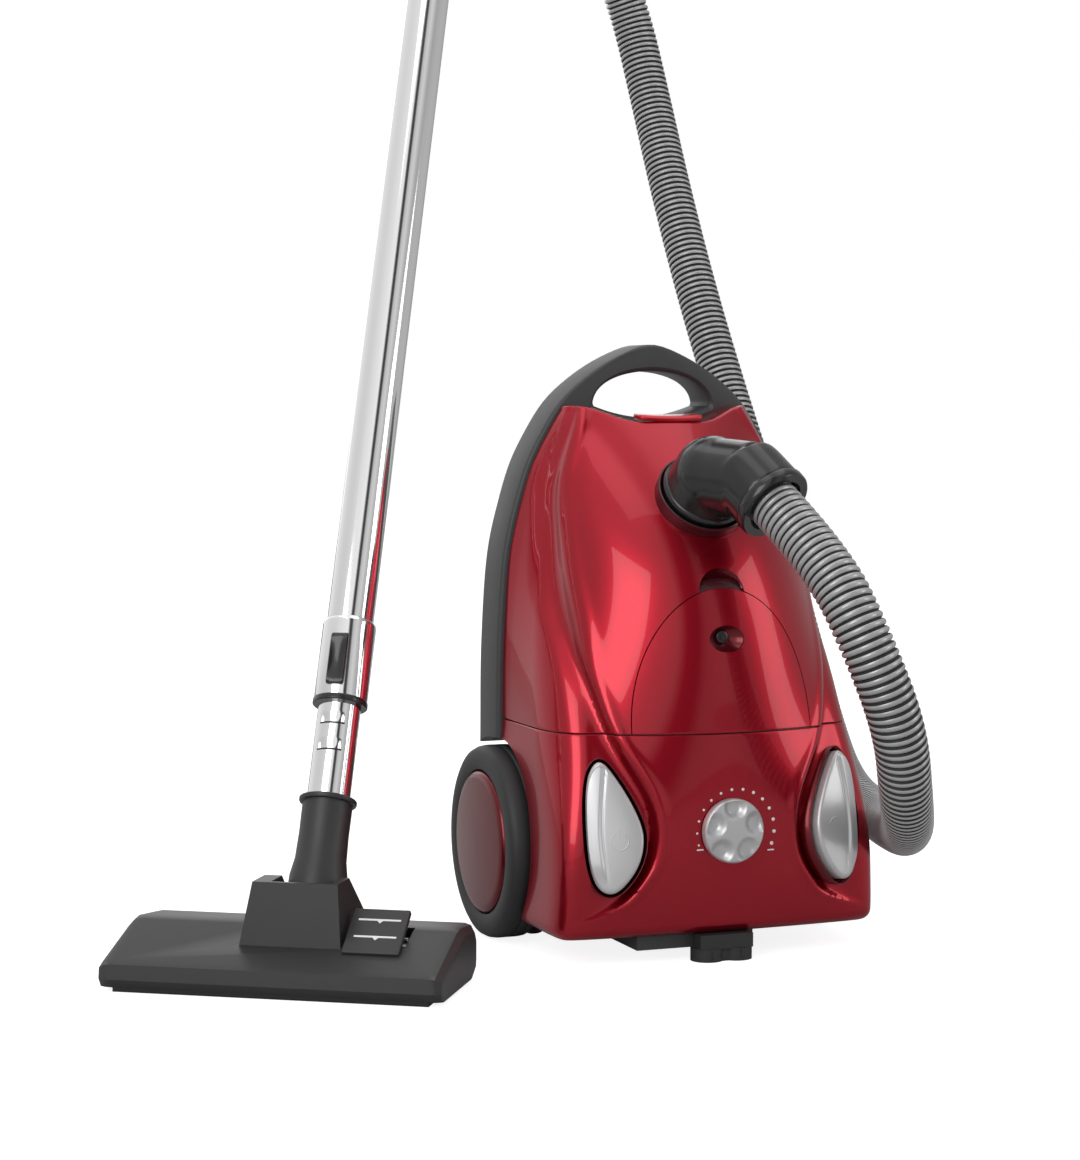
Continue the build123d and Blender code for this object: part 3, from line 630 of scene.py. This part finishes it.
# ---- Pedals, knob and its dots ----------------------------------------------------------------------
def pedal(side, body, node):
    """Silver pedal: crowned leaf with a raised rim along its outer edge."""
    edge = np.array(pedal_outline(side, 0))
    middle = np.array([-1.5 * side, 10])
    shares = [(1.0, -4.5), (1.0, 3.2), (0.992, 4.2), (0.975, 4.9), (0.95, 5.3)]
    loops = [[pedal_place(side, *(middle + (p - middle) * s), rise) for p in edge] for s, rise in shares]
    for s in np.linspace(0.93, 0.02, 44):
        loop = []
        for p in edge:
            x, y = middle + (p - middle) * s
            outer = side * x
            line = 1.0 + 3.2 * smooth_step((y + 30) / 45) - 0.0012 * (y - 10) ** 2
            raised = 1.5 * smooth_step((outer - line) / 2.2) * smooth_step((y + 27) / 16)
            groove = 0.55 * np.exp(-(((outer - line + 0.6) / 0.9) ** 2)) * smooth_step((y + 27) / 16)
            crown = 2.2 * (1 - s**2.4)
            loop.append(pedal_place(side, x, y, 5.3 + crown + raised - groove))
        loops.append(loop)
    plate = rings("plate", loops, SILVER)
    marks = []
    centre = (-8.6 * side, 4.4)
    sweep = [radians(a) for a in (range(125, 416, 10) if side < 0 else range(30, 151, 8))]
    radius = 6.2 if side < 0 else 8.0
    ring = []
    for angle in sweep:
        x, y = centre[0] + radius * cos(angle), centre[1] + radius * sin(angle)
        spread = []
        for k in range(8):
            t = 2 * pi * k / 8
            far = radius + 0.45 * cos(t)
            at = centre[0] + far * cos(angle), centre[1] + far * sin(angle)
            spread.append(pedal_place(side, *at, 7.35 + 0.3 * sin(t)))
        ring.append(spread)
    marks.append(rings("arc", ring, SILVER))
    if side < 0:
        ends = [pedal_place(side, centre[0], centre[1] + up, 7.35) for up in (2.5, 8)]
        marks.append(rod("bar", *ends, 0.45, SILVER, 12))
    made = by_angle(join(node + "_visual", [plate] + marks), 40)
    settle(made, body, [node])


pedal(-1, "power_button", "power_pedal")
pedal(1, "rewind_button", "rewind_pedal")

# Dark red trays under the windows round the pedals: painted shade in the gap around each pedal.
for side in (-1, 1):
    steps = ((3.0, 0.5), (3.0, -14), (-3, -15))
    well = [[pedal_place(side, x, y, rise) for x, y in pedal_outline(side, grow)] for grow, rise in steps]
    tray = mesh("pedal_recess_shade", [p for loop in well for p in loop], grid_faces(3, 120, around=True), DARK_RED_AND_RECESS_SHADE)
    settle(thicken(tray, 0.8), "canister")

knob_loops = []
for share, rise in ((1, 0), (1, 3.6), (0.995, 4.4), (0.975, 5.2), (0.945, 5.9)):
    knob_loops.append([(22.5 * share, 2 * pi * k / 180, rise) for k in range(180)])
for radius in np.linspace(21, 0.1, 44):
    ring = []
    for k in range(180):
        angle = 2 * pi * k / 180
        rise = 6.2 + 1.3 * (1 - (radius / 21) ** 2)
        for scoop in range(5):
            turn = radians(90 + 72 * scoop)
            away = hypot(radius * cos(angle) - 16.5 * cos(turn), radius * sin(angle) - 16.5 * sin(turn))
            rise -= 4.6 * float(smooth_step((9.6 - away) / 6.0))
        ring.append((radius, angle, rise))
    knob_loops.append(ring)
knob_points = [[KNOB + Vector((r * cos(a), -rise, r * sin(a))) for r, a, rise in ring] for ring in knob_loops]
knob = rings("suction_knob_visual", knob_points, SILVER)
settle(by_angle(knob, 50), "knob", ["suction_knob"])


dots = []
for k in range(14):
    angle = radians(197 - k * (217 / 13))
    x, z = 4 + 29.3 * cos(angle), 92 + 29.3 * sin(angle)
    size = 0.75 + 0.045 * k
    dot = [(0, size), (0.5, size), (0.62, size * 0.7), (0.66, 0)]
    dots.append(turned("dot", (x, front_y(x, z) + 0.3, z), (0, -1, 0), dot, WHITE, 20))
for x, z in ((-22.8, 80.2), (31, 77.3)):
    dots.append(block("dash", (x, front_y(x, z), z), (5, 0.7, 1.0), WHITE, round_edge=0.2))
settle(join("knob_scale", dots), "canister")


# ---- Elbow of the hose ------------------------------------------------------------------------------
hose_start = Vector(HOSE_ROUTE[0])
hose_dir = (Vector(HOSE_ROUTE[1]) - hose_start).normalized()
ball = INLET + INLET_AXIS * 24
cuff_low, cuff_high = hose_start - hose_dir * 14, hose_start + hose_dir * 10
body_parts = [
    turned("base", INLET - INLET_AXIS * 12, INLET_AXIS, [(0, 29.2), (20, 29.2), (34, 28)], ELBOW_GREY),
    rod("throat", ball, cuff_low, 27.0, ELBOW_GREY),
    turned("outlet", cuff_low - hose_dir * 10, hose_dir, [(0, 26.6), (8, 27.2), (31, 27.0)], ELBOW_GREY),
]
sphere_profile = [(28 - 28 * cos(pi * k / 40), 28.0 * sin(pi * k / 40)) for k in range(41)]
body_parts.append(turned("ball", ball - INLET_AXIS * 28, INLET_AXIS, sphere_profile, ELBOW_GREY))
elbow = join("elbow_visual", body_parts)
remesh = elbow.modifiers.new("blend", "REMESH")
remesh.mode, remesh.voxel_size = "VOXEL", 0.0012
relax = elbow.modifiers.new("relax", "SMOOTH")
relax.factor, relax.iterations = 0.6, 14
apply_all(elbow)
elbow.data.materials.clear()
elbow.data.materials.append(ELBOW_GREY)
cuff_profile = [(-4, 22), (-4, 27.2), (-3, 27.9), (2.4, 27.6), (3.6, 26.8), (3.4, 21), (-1, 19.6), (-2, 19.4)]
cuff = turned("cuff", cuff_high, hose_dir, cuff_profile + cuff_profile[:1], ELBOW_GREY)
ring_profile = [(0, 29), (0, 30.6), (2, 31), (4, 30.4), (5, 29)]
ring = turned("ring", INLET + INLET_AXIS * 6, INLET_AXIS, ring_profile, ELBOW_GREY)
elbow.data.shade_smooth()
elbow = by_angle(join("elbow_visual", [elbow, cuff, ring]), 40)
settle(elbow, "lid", ["elbow"])
collar_profile = [
    (-9, 30.5), (-9, 33.1), (2.5, 33.1), (3.6, 33.6), (4.4, 33.4), (4.8, 32.4), (3.5, 31), (1, 30.5),
]
collar = turned("inlet_collar_visual", INLET, INLET_AXIS, collar_profile + collar_profile[:1], MAROON_AND_GAP_SHADE)
settle(by_angle(collar, 40), "lid", ["inlet_collar"])


# ---- Hose -------------------------------------------------------------------------------------------
curve = bpy.data.curves.new("hose_route", "CURVE")
curve.dimensions = "3D"
spline = curve.splines.new("NURBS")
spline.points.add(len(HOSE_ROUTE) - 1)
for point, place in zip(spline.points, HOSE_ROUTE):
    point.co = (*(c * MM for c in place), 1)
spline.order_u = 3
spline.use_endpoint_u = True
curve.resolution_u = 24
route_object = bpy.data.objects.new("hose_route", curve)
bpy.context.scene.collection.objects.link(route_object)
bpy.context.view_layer.update()
line_mesh = bpy.data.meshes.new_from_object(route_object.evaluated_get(bpy.context.evaluated_depsgraph_get()))
line = np.array([tuple(v.co) for v in line_mesh.vertices]) / MM
bpy.data.objects.remove(route_object)
bpy.data.meshes.remove(line_mesh)
reach = np.concatenate([[0], np.cumsum(np.linalg.norm(np.diff(line, axis=0), axis=1))])


def on_route(length):
    """The point on the hose's centre line that lies so far along it."""
    return Vector([float(np.interp(length, reach, line[:, k])) for k in range(3)])


def hose_mesh():
    """Ribbed tube: rounded ridges with narrow valleys, closed at both ends."""
    loops, phases, up = [], [], Vector((0, 0, 1))
    samples = np.arange(0, reach[-1], RIB_PITCH / 8)
    for length in samples:
        here = on_route(length)
        ahead = (on_route(min(length + 3, reach[-1])) - on_route(max(length - 3, 0))).normalized()
        side = up.cross(ahead).normalized()
        up = ahead.cross(side)
        phase = (length / RIB_PITCH) % 1
        ridge = max(0.0, sin(pi * phase)) ** 0.6
        radius = HOSE_R - 2.7 + 2.7 * ridge
        phases.append(phase)
        turns = [2 * pi * k / 36 for k in range(36)]
        loops.append([here + (side * cos(t) + up * sin(t)) * radius for t in turns])
    made = rings("hose_tube", loops, HOSE_GREY)
    made.data.materials.append(HOSE_VALLEY_SHADE)
    # Faces in the valleys take the near-black material: painted shade between the ribs.
    for face in made.data.polygons[: (len(loops) - 1) * 36]:
        phase = phases[face.index // 36]
        face.material_index = 1 if phase > 0.86 or phase < 0.2 else 0
    return made


hose = hose_mesh()
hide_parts("hose")
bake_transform(hose)


# ---- Charcoal frame with the carry handle -----------------------------------------------------------
def frame_outline(inset, count=150):
    """The frame's outline in X and Z, as one smooth closed curve."""
    sides = [(h - inset, z) for h, z in FRAME_SIDE]
    control = [(sides[0][0], FRAME_LOW + inset)] + sides + [(0, FRAME_TOP - inset)]
    control += [(-x, z) for x, z in reversed(control[:-1])]
    steps = [hypot(b[0] - a[0], b[1] - a[1]) for a, b in zip(control, control[1:])]
    spacing = np.concatenate([[0], np.cumsum(steps)])
    fx, fz = natural(spacing, [c[0] for c in control]), natural(spacing, [c[1] for c in control])
    at = np.linspace(0, spacing[-1], count)
    return list(zip(fx(at), fz(at)))


def grip_outline(grow):
    """The hand hole: an arch over a lower edge that dips a little in the middle."""
    half, low, high = 46 + grow, 386 - grow, 411 + grow
    top = [(half * cos(t), low + (high - low) * sin(t) ** 0.9) for t in np.linspace(0.06, pi - 0.06, 60)]
    bottom = [(x, low - 9 * (1 - (x / half) ** 2)) for x in np.linspace(-half + 1, half - 1, 24)]
    return top + bottom


edge_steps = [(3.2, 0), (2.0, 0.25), (1.0, 0.9), (0.35, 1.9), (0, 3.2)]
depth = FRAME_BACK - FRAME_FRONT
stations = [(i, y) for i, y in edge_steps] + [(i, depth - y) for i, y in reversed(edge_steps)]
frame_loops = [[(x, FRAME_FRONT + y, z) for x, z in frame_outline(i)] for i, y in stations]
frame_body = rings("rear_frame_visual", frame_loops, FRAME_GREY)
hole_steps = [(4.4, -1.5), (3.0, 0.1), (1.4, 0.9), (0.5, 2.0), (0, 3.6)]
hole = [(g, y) for g, y in hole_steps] + [(g, depth - y) for g, y in reversed(hole_steps)]
grip_hole = rings("grip", [[(x, FRAME_FRONT + y, z) for x, z in grip_outline(g)] for g, y in hole], BLACK_AND_NOTCH_SHADE)
pocket = [(x, min(z, 368)) for x, z in frame_outline(9)]
frame_cutters = [grip_hole, prism("pocket", pocket, FRAME_FRONT - 2, FRAME_BACK - 5)]
for side in (-1, 1):
    frame_cutters.append(wheel_well(side, 97))
frame_cutters += [
    rod("caster", (0, 158, 325), (0, 170, 325), 22),
    block("vent", (-42, 161, 84), (76, 14, 56), BLACK_AND_NOTCH_SHADE, round_edge=1.0),
    rod("outlet", (52, 150, 40), (52, 170, 40), 9),
]
cut(frame_body, frame_cutters)
inner_walls = []
for side in (-1, 1):
    wall = [(0, 4), (0, WELL_R - 6), (3, WELL_R - 6), (3, 12), (4.5, 12), (4.5, 5.3), (4.5, 4)]
    inner_walls.append(turned("wall", (side * 93.5, WHEEL_Y, WHEEL_R), (side, 0, 0), wall, FRAME_GREY))
frame_visual = by_angle(join("rear_frame_visual", [frame_body] + inner_walls), 32)
settle(frame_visual, "canister", ["rear_frame"])


# ---- Wheels -----------------------------------------------------------------------------------------
TYRE = [
    (102, 52), (102, 64), (103, 67.5), (106, 69.6), (110, 70), (111, 69.2), (112, 70), (116, 70), (117, 69.2),
    (118, 70), (123, 70), (127, 69.4), (130.5, 67.6), (132, 65), (132.6, 60), (132.2, 55), (131, 52.6),
    (128, 52),
]
HUBCAP = [
    (124, 51.8), (130.6, 51.6), (132.4, 50.6), (133.4, 48.8), (133.9, 45), (135.2, 30), (136, 12), (136.2, 0),
]
HUB = [(103, 6), (103, 14), (105.5, 15), (105.5, 44), (103, 46), (103, 52), (126, 52), (126, 40), (126, 6)]
for side, name in ((-1, "left"), (1, "right")):
    origin, along = (0, WHEEL_Y, WHEEL_R), (side, 0, 0)
    body = name + "_wheel"
    tyre = by_angle(turned(name + "_tyre_visual", origin, along, TYRE + TYRE[:1], RUBBER, 160), 40)
    settle(tyre, body, [name + "_tyre"])
    cap = by_angle(turned(name + "_hubcap_visual", origin, along, [(124, 40)] + HUBCAP, DARK_RED_AND_RECESS_SHADE, 128), 60)
    settle(cap, body, [name + "_hubcap"])
    hub = by_angle(turned(name + "_hub_visual", origin, along, HUB + HUB[:1], FRAME_GREY, 96), 40)
    settle(hub, body, [name + "_wheel_hub"])
CASTER = [(-7, 2.1), (-7, 12.5), (-6, 14.4), (-4, 15), (4, 15), (6, 14.4), (7, 12.5), (7, 2.1)]
caster = by_angle(turned("caster_wheel_visual", (0, 188, 317), (1, 0, 0), CASTER + CASTER[:1], RUBBER), 40)
settle(caster, "caster_roller", ["caster_wheel"])


# ---- Floor head -------------------------------------------------------------------------------------
across = Vector((cos(HEAD_HEADING), sin(HEAD_HEADING), 0))
backward = Vector((-sin(HEAD_HEADING), cos(HEAD_HEADING), 0))
head_turn = Matrix((across, backward, (0, 0, 1))).transposed()


def head_at(x, y, z):
    """A point of the floor head, from its own frame."""
    return HEAD_FRONT + across * x + backward * y + Vector((0, 0, z))


def head_outline(x, front, top_front, back, top_z, ridge):
    """One cross-section of the floor head."""
    outline = [
        (front + 3, 3), (back - 12, 3), (back - 1, 9), (back, 14), (back, top_z - 9), (back - 4, top_z - 3),
        (ridge + 4, top_z), (ridge - 6, top_z - 1.4), (front + 6, top_front + 1.4), (front, top_front - 1),
        (front - 1, 9),
    ]
    return [head_at(x, y, z) for y, z in outline]


head_loops = []
for x, front, top_front, back, top_z in (
    (-117.5, 6, 14, 90, 28), (-117, 3, 17, 96, 35), (-113, 0.6, 19.3, 101, 39.4), (-108, 0, 20, 104, 40.2),
    (108, 0, 20, 104, 40.2), (113, 0.6, 19.3, 101, 39.4), (117, 3, 17, 96, 35), (117.5, 6, 14, 90, 28),
):
    head_loops.append(head_outline(x, front, top_front, back, top_z, 64))
head_body = rings("head_cover_visual", head_loops, CHARCOAL)
neck_x = NECK_AT.x


def hood_ring(x0, x1, y0, y1, z):
    """One level of the hood over the neck."""
    return [head_at(x, y, z) for x, y in ((x0, y0), (x1, y0), (x1, y1), (x0, y1))]


hood = rings(
    "hood",
    [
        hood_ring(neck_x - 43, neck_x + 30, 29, 99, 18),
        hood_ring(neck_x - 39.3, neck_x + 28.5, 31.2, 98, 38),
        hood_ring(neck_x - 33, neck_x + 26, 35, 62, 71.5),
    ],
    CHARCOAL,
)
cut(head_body, [hood], "UNION")
slot_cutters = [
    block("neck_slot", head_at(neck_x, 79.5, 62), (42, 82, 60), BLACK_AND_NOTCH_SHADE, head_turn),
    block("neck_back", head_at(neck_x, 100, 54), (42, 80, 76), BLACK_AND_NOTCH_SHADE, head_turn),
    rod("neck_round", head_at(neck_x - 21, 60, 32), head_at(neck_x + 21, 60, 32), 22),
    block("rocker_well", head_at(ROCKER_AT.x, 42.5, 48), (39, 41, 34), BLACK_AND_NOTCH_SHADE, head_turn),
    block("mouth", head_at(0, 48, 2), (200, 76, 12), BLACK_AND_NOTCH_SHADE, head_turn),
]
cut(head_body, slot_cutters)
settle(soften(head_body, 1.3, 22, 3), "floor_head", ["head_cover"])

tilt = Matrix.Rotation(ROCKER_TILT, 3, "X")
rocker_turn = head_turn @ tilt


def on_rocker(x, y, z):
    """A point of the tilted rocker pedal, from its own frame."""
    return head_at(*ROCKER_AT) + rocker_turn @ Vector((x, y, z))


rocker_parts = [block("plate", on_rocker(-1, 0, 0), (39, 39.5, 4.2), CHARCOAL, rocker_turn, 0.9)]
rocker_parts.append(block("boss", on_rocker(0, 0, -4.5), (28, 10, 7), CHARCOAL, rocker_turn, 0.6))
for y in (-5.5, 9.5):
    rocker_parts.append(block("mark", on_rocker(-0.5, y, 2.2), (29, 1.5, 0.5), WHITE, rocker_turn, 0.12))
    corners = [(-2.2, y - 0.6), (2.2, y - 0.6), (0, y - 3.0)]
    loops = [[on_rocker(cx, cy, rise) for cx, cy in corners] for rise in (2.0, 2.42)]
    rocker_parts.append(rings("arrow", loops, WHITE))
settle(by_angle(join("rocker_pedal_visual", rocker_parts), 40), "rocker", ["rocker_pedal"])

# ---- Neck and wand ----------------------------------------------------------------------------------
pivot = head_at(*NECK_AT)
wand_dir = backward * sin(WAND_LEAN) + Vector((0, 0, cos(WAND_LEAN)))
notch_side = -backward * cos(WAND_LEAN) + Vector((0, 0, sin(WAND_LEAN)))


def on_wand(length):
    """The point on the wand's axis so far up from the neck pin."""
    return pivot + wand_dir * length


NECK = [
    (8, 19), (22, 20.4), (40, 19.8), (52, 17.6), (70, 17.0), (91.4, 17.2), (91.8, 19.4), (92.6, 19.8),
    (94.4, 19.8), (95, 19.2), (95, 15.2), (80, 15.1), (60, 13.2), (12, 12.8),
]
neck = turned("neck_tube", pivot, wand_dir, NECK + NECK[:1], CHARCOAL)
drum_profile = [(-20, 3.1), (-20, 17.6), (-19, 19), (19, 19), (20, 17.6), (20, 3.1), (-20, 3.1)]
drum = turned("neck_drum", pivot, across, drum_profile, CHARCOAL)
settle(by_angle(join("neck_visual", [neck, drum]), 40), "wand_inner", ["neck"])

inner_profile = [(58, 13.2), (58, 14.8)] + [(length, 14.8) for length in np.arange(110, 160, 0.5)]
inner_profile += [(560, 14.8), (560, 13.2), (58, 13.2)]
inner_tube = turned("inner_tube_visual", pivot, wand_dir, inner_profile, CHROME, 160)
for vertex in inner_tube.data.vertices:
    away = vertex.co / MM - pivot
    length = away.dot(wand_dir)
    out = away - wand_dir * length
    turn = acos(max(-1.0, min(1.0, out.normalized().dot(notch_side))))
    for start in (127, 146):
        dent = smooth_step((length - start + 0.6) / 0.9) * smooth_step((start + 8.5 - length) / 7)
        dent *= smooth_step((radians(34) - turn) / radians(7))
        if out.length > 14:
            vertex.co -= out.normalized() * float(1.3 * dent) * MM
settle(by_angle(inner_tube, 50), "wand_inner", ["inner_tube"])
# Black lines along the notches' edges: painted shade at the step of each dent.
edges = []
for start in (126.9, 145.9):
    loops = []
    for turn in np.linspace(radians(-36), radians(36), 28):
        out = notch_side * cos(turn) + across * sin(turn)
        section = ((-0.7, 14.3), (-0.7, 14.86), (0.5, 14.86), (0.5, 14.3))
        loops.append([on_wand(start + rise) + out * radius for rise, radius in section])
    edges.append(rings("edge", loops, BLACK_AND_NOTCH_SHADE))
settle(join("tube_notch_shade_lines", edges), "wand_inner")
outer_profile = [(165.5, 14.9), (165.5, 16.2), (225, 16.2), (780, 16.2), (780, 14.9), (165.5, 14.9)]
outer_tube = by_angle(turned("outer_tube_visual", pivot, wand_dir, outer_profile, CHROME, 128), 50)
settle(outer_tube, "canister", ["outer_tube"])
SLEEVE = [(165.5, 16.3), (165.5, 18.3), (166.5, 18.6), (220, 18.6), (222, 18.2), (223.5, 16.9), (223.5, 16.3)]
sleeve = turned("sleeve_visual", pivot, wand_dir, SLEEVE + SLEEVE[:1], CHROME, 128)
settle(by_angle(sleeve, 50), "canister", ["sleeve"])
LIP = [(161.6, 15.0), (161.6, 18.5), (162.2, 19.1), (165.0, 19.1), (165.8, 18.7), (165.8, 15.2)]
lip = by_angle(turned("sleeve_lip_visual", pivot, wand_dir, LIP + LIP[:1], BLACK_AND_NOTCH_SHADE), 40)
settle(lip, "canister", ["sleeve_lip"])
button_loops = []
for y in np.linspace(-18.5, 18.5, 29):
    cap = sqrt(max(0.0, 1 - (abs(y) / 18.7) ** 12))
    dip = 1.6 * cos(pi * y / 36)
    ring = []
    section = [(-6.3, -1.2), (-6.3, 1.0), (-5.6, 1.9), (-3, 2.1 - dip), (0, 1.9 - dip)]
    section += [(-x, top) for x, top in reversed(section[:-1])]
    for x, top in section:
        at = on_wand(190.5 + y) + across * x * (0.86 + 0.14 * cap) + notch_side * (19.2 + top * cap)
        ring.append(at)
    button_loops.append(ring)
release = by_angle(rings("release_button_visual", button_loops, ELBOW_GREY), 45)
settle(release, "tube_release", ["release_button"])

# ---- Dust bag: a full fleece bag with soft pleats ---------------------------------------------------
bag_low, bag_high = [Vector(c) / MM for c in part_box("dust_bag")]
bag_mid, bag_half = (bag_low + bag_high) / 2, (bag_high - bag_low) / 2
bag_loops = []
for lift in np.linspace(-0.985, 0.985, 70):
    girth = (1 - abs(lift) ** 3.2) ** 0.5
    loop = []
    for k in range(120):
        turn = 2 * pi * k / 120
        c, s = cos(turn), sin(turn)
        fold = 1 - 0.018 * cos(14 * turn + 2 * lift) - 0.02 * cos(5 * turn)
        x = bag_half.x * girth * fold * abs(c) ** 0.6 * (1 if c > 0 else -1) * 0.97
        y = bag_half.y * girth * fold * abs(s) ** 0.6 * (1 if s > 0 else -1) * 0.97
        loop.append((bag_mid.x + x, bag_mid.y + y, bag_mid.z + bag_half.z * lift))
    bag_loops.append(loop)
bag = rings("dust_bag_visual", bag_loops, FABRIC)
settle(by_angle(bag, 60), "canister", ["dust_bag"])

# ---- Materials of the CAD nodes that stay -----------------------------------------------------------
KEPT = {
    FRAME_GREY: ["base_plate", "exhaust_grille", "caster_fork", "cord_outlet"],
    RUBBER: ["stand_foot", "head_roller"],
    STEEL: [
        "wheel_axles",
        "caster_axle",
        "reel_axle",
        "neck_pin",
        "head_pins",
        "knob_shaft",
        "pedal_springs",
    ],
    CHARCOAL: ["handle", "hose_cuff", "air_slider"],
    BLACK_AND_NOTCH_SHADE: ["sole_plate", "power_switch"],
    BRISTLE: ["brush_strips"],
    INNER: ["dust_tub", "accessory_tray", "bag_holder", "motor_housing", "reel_drum", "reel_spring_housing"],
    SEAL: ["lid_seal", "motor_mounts"],
    FELT: ["motor_filter", "exhaust_filter"],
    CAST: ["fan_rotor"],
    BOARD: ["control_board"],
}
for look, names in KEPT.items():
    for name in names:
        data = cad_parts[name].data
        data.materials.clear()
        data.materials.append(look)

# ---- Floor, light and camera ------------------------------------------------------------------------
turns = np.linspace(0, 2 * pi, 96, endpoint=False)
floor_loops = [[(radius * cos(t), radius * sin(t), -0.1) for t in turns] for radius in (0.01, 9000)]
FLOOR = material("pale_floor", (0.5, 0.5, 0.5), 0.9, grain=60, bump=0.01, mottle=0.01)
floor_nodes, floor_links = FLOOR.node_tree.nodes, FLOOR.node_tree.links
glow, floor_mix = floor_nodes.new("ShaderNodeEmission"), floor_nodes.new("ShaderNodeMixShader")
floor_seen = floor_nodes.new("ShaderNodeLightPath")
glow.inputs["Strength"].default_value = 0.86
floor_sum = floor_nodes.new("ShaderNodeAddShader")
floor_links.new(floor_nodes["Principled BSDF"].outputs["BSDF"], floor_sum.inputs[0])
floor_links.new(glow.outputs["Emission"], floor_sum.inputs[1])
floor_links.new(floor_seen.outputs["Is Camera Ray"], floor_mix.inputs["Fac"])
floor_links.new(floor_nodes["Principled BSDF"].outputs["BSDF"], floor_mix.inputs[1])
floor_links.new(floor_sum.outputs["Shader"], floor_mix.inputs[2])
floor_links.new(floor_mix.outputs["Shader"], floor_nodes["Material Output"].inputs["Surface"])
floor = mesh("floor", [p for ring in floor_loops for p in ring], grid_faces(2, 96, around=True), FLOOR)


def light(name, place, target, size, power, tall=None):
    """A soft rectangular light that the camera doesn't see."""
    data = bpy.data.lights.new(name, "AREA")
    data.shape, data.size, data.size_y, data.energy = "RECTANGLE", size, tall or size, power
    lamp = bpy.data.objects.new(name, data)
    lamp.location = place
    lamp.rotation_euler = (Vector(target) - Vector(place)).to_track_quat("-Z", "Y").to_euler()
    lamp.visible_camera = False
    bpy.context.scene.collection.objects.link(lamp)


middle = (0, 0.1, 0.3)
light("key_left", (-1.9, -1.5, 1.3), middle, 1.3, 20, 1.8)
light("fill_right", (2.0, -1.2, 0.9), middle, 0.8, 9, 1.8)
light("top", (0, 0.2, 2.6), middle, 2.4, 14)
light("back", (0.2, 2.6, 1.4), middle, 2.2, 12)

world = bpy.data.worlds.new("studio")
bpy.context.scene.world = world
world.use_nodes = True
world_nodes, world_links = world.node_tree.nodes, world.node_tree.links
surround, backdrop = world_nodes["Background"], world_nodes.new("ShaderNodeBackground")
sky_place, sky_split = world_nodes.new("ShaderNodeTexCoord"), world_nodes.new("ShaderNodeSeparateXYZ")
sky_span, sky_ramp = world_nodes.new("ShaderNodeMapRange"), world_nodes.new("ShaderNodeValToRGB")
sky_span.inputs["From Min"].default_value = -1.0
world_links.new(sky_place.outputs["Generated"], sky_split.inputs["Vector"])
world_links.new(sky_split.outputs["X"], sky_span.inputs["Value"])
world_links.new(sky_span.outputs["Result"], sky_ramp.inputs["Fac"])
SKY = ((0.18, 0.8), (0.41, 0.95), (0.46, 0.06), (0.53, 0.05), (0.58, 0.55), (0.7, 0.7), (0.85, 0.4))
for at, shade in SKY:
    stop = sky_ramp.color_ramp.elements.new(at)
    stop.color = (shade, shade, shade, 1)
for stop, shade in ((sky_ramp.color_ramp.elements[0], 0.6), (sky_ramp.color_ramp.elements[-1], 0.5)):
    stop.color = (shade, shade, shade, 1)
world_links.new(sky_ramp.outputs["Color"], surround.inputs["Color"])
surround.inputs["Strength"].default_value = 0.9
backdrop.inputs["Color"].default_value = (1, 1, 1, 1)
backdrop.inputs["Strength"].default_value = 1.0
seen, choice = world_nodes.new("ShaderNodeLightPath"), world_nodes.new("ShaderNodeMixShader")
world_links.new(seen.outputs["Is Camera Ray"], choice.inputs["Fac"])
world_links.new(surround.outputs["Background"], choice.inputs[1])
world_links.new(backdrop.outputs["Background"], choice.inputs[2])
world_links.new(choice.outputs["Shader"], world_nodes["World Output"].inputs["Surface"])
bpy.context.scene.view_settings.view_transform = "Standard"

camera_data = bpy.data.cameras.new("camera")
camera_data.lens, camera_data.sensor_width = 86.15, 36
camera = bpy.data.objects.new("camera", camera_data)
camera.location = (-0.7938, -1.7537, 0.3917)
camera.rotation_euler = (radians(86.24), 0, radians(-20.58))
bpy.context.scene.collection.objects.link(camera)
bpy.context.scene.camera = camera
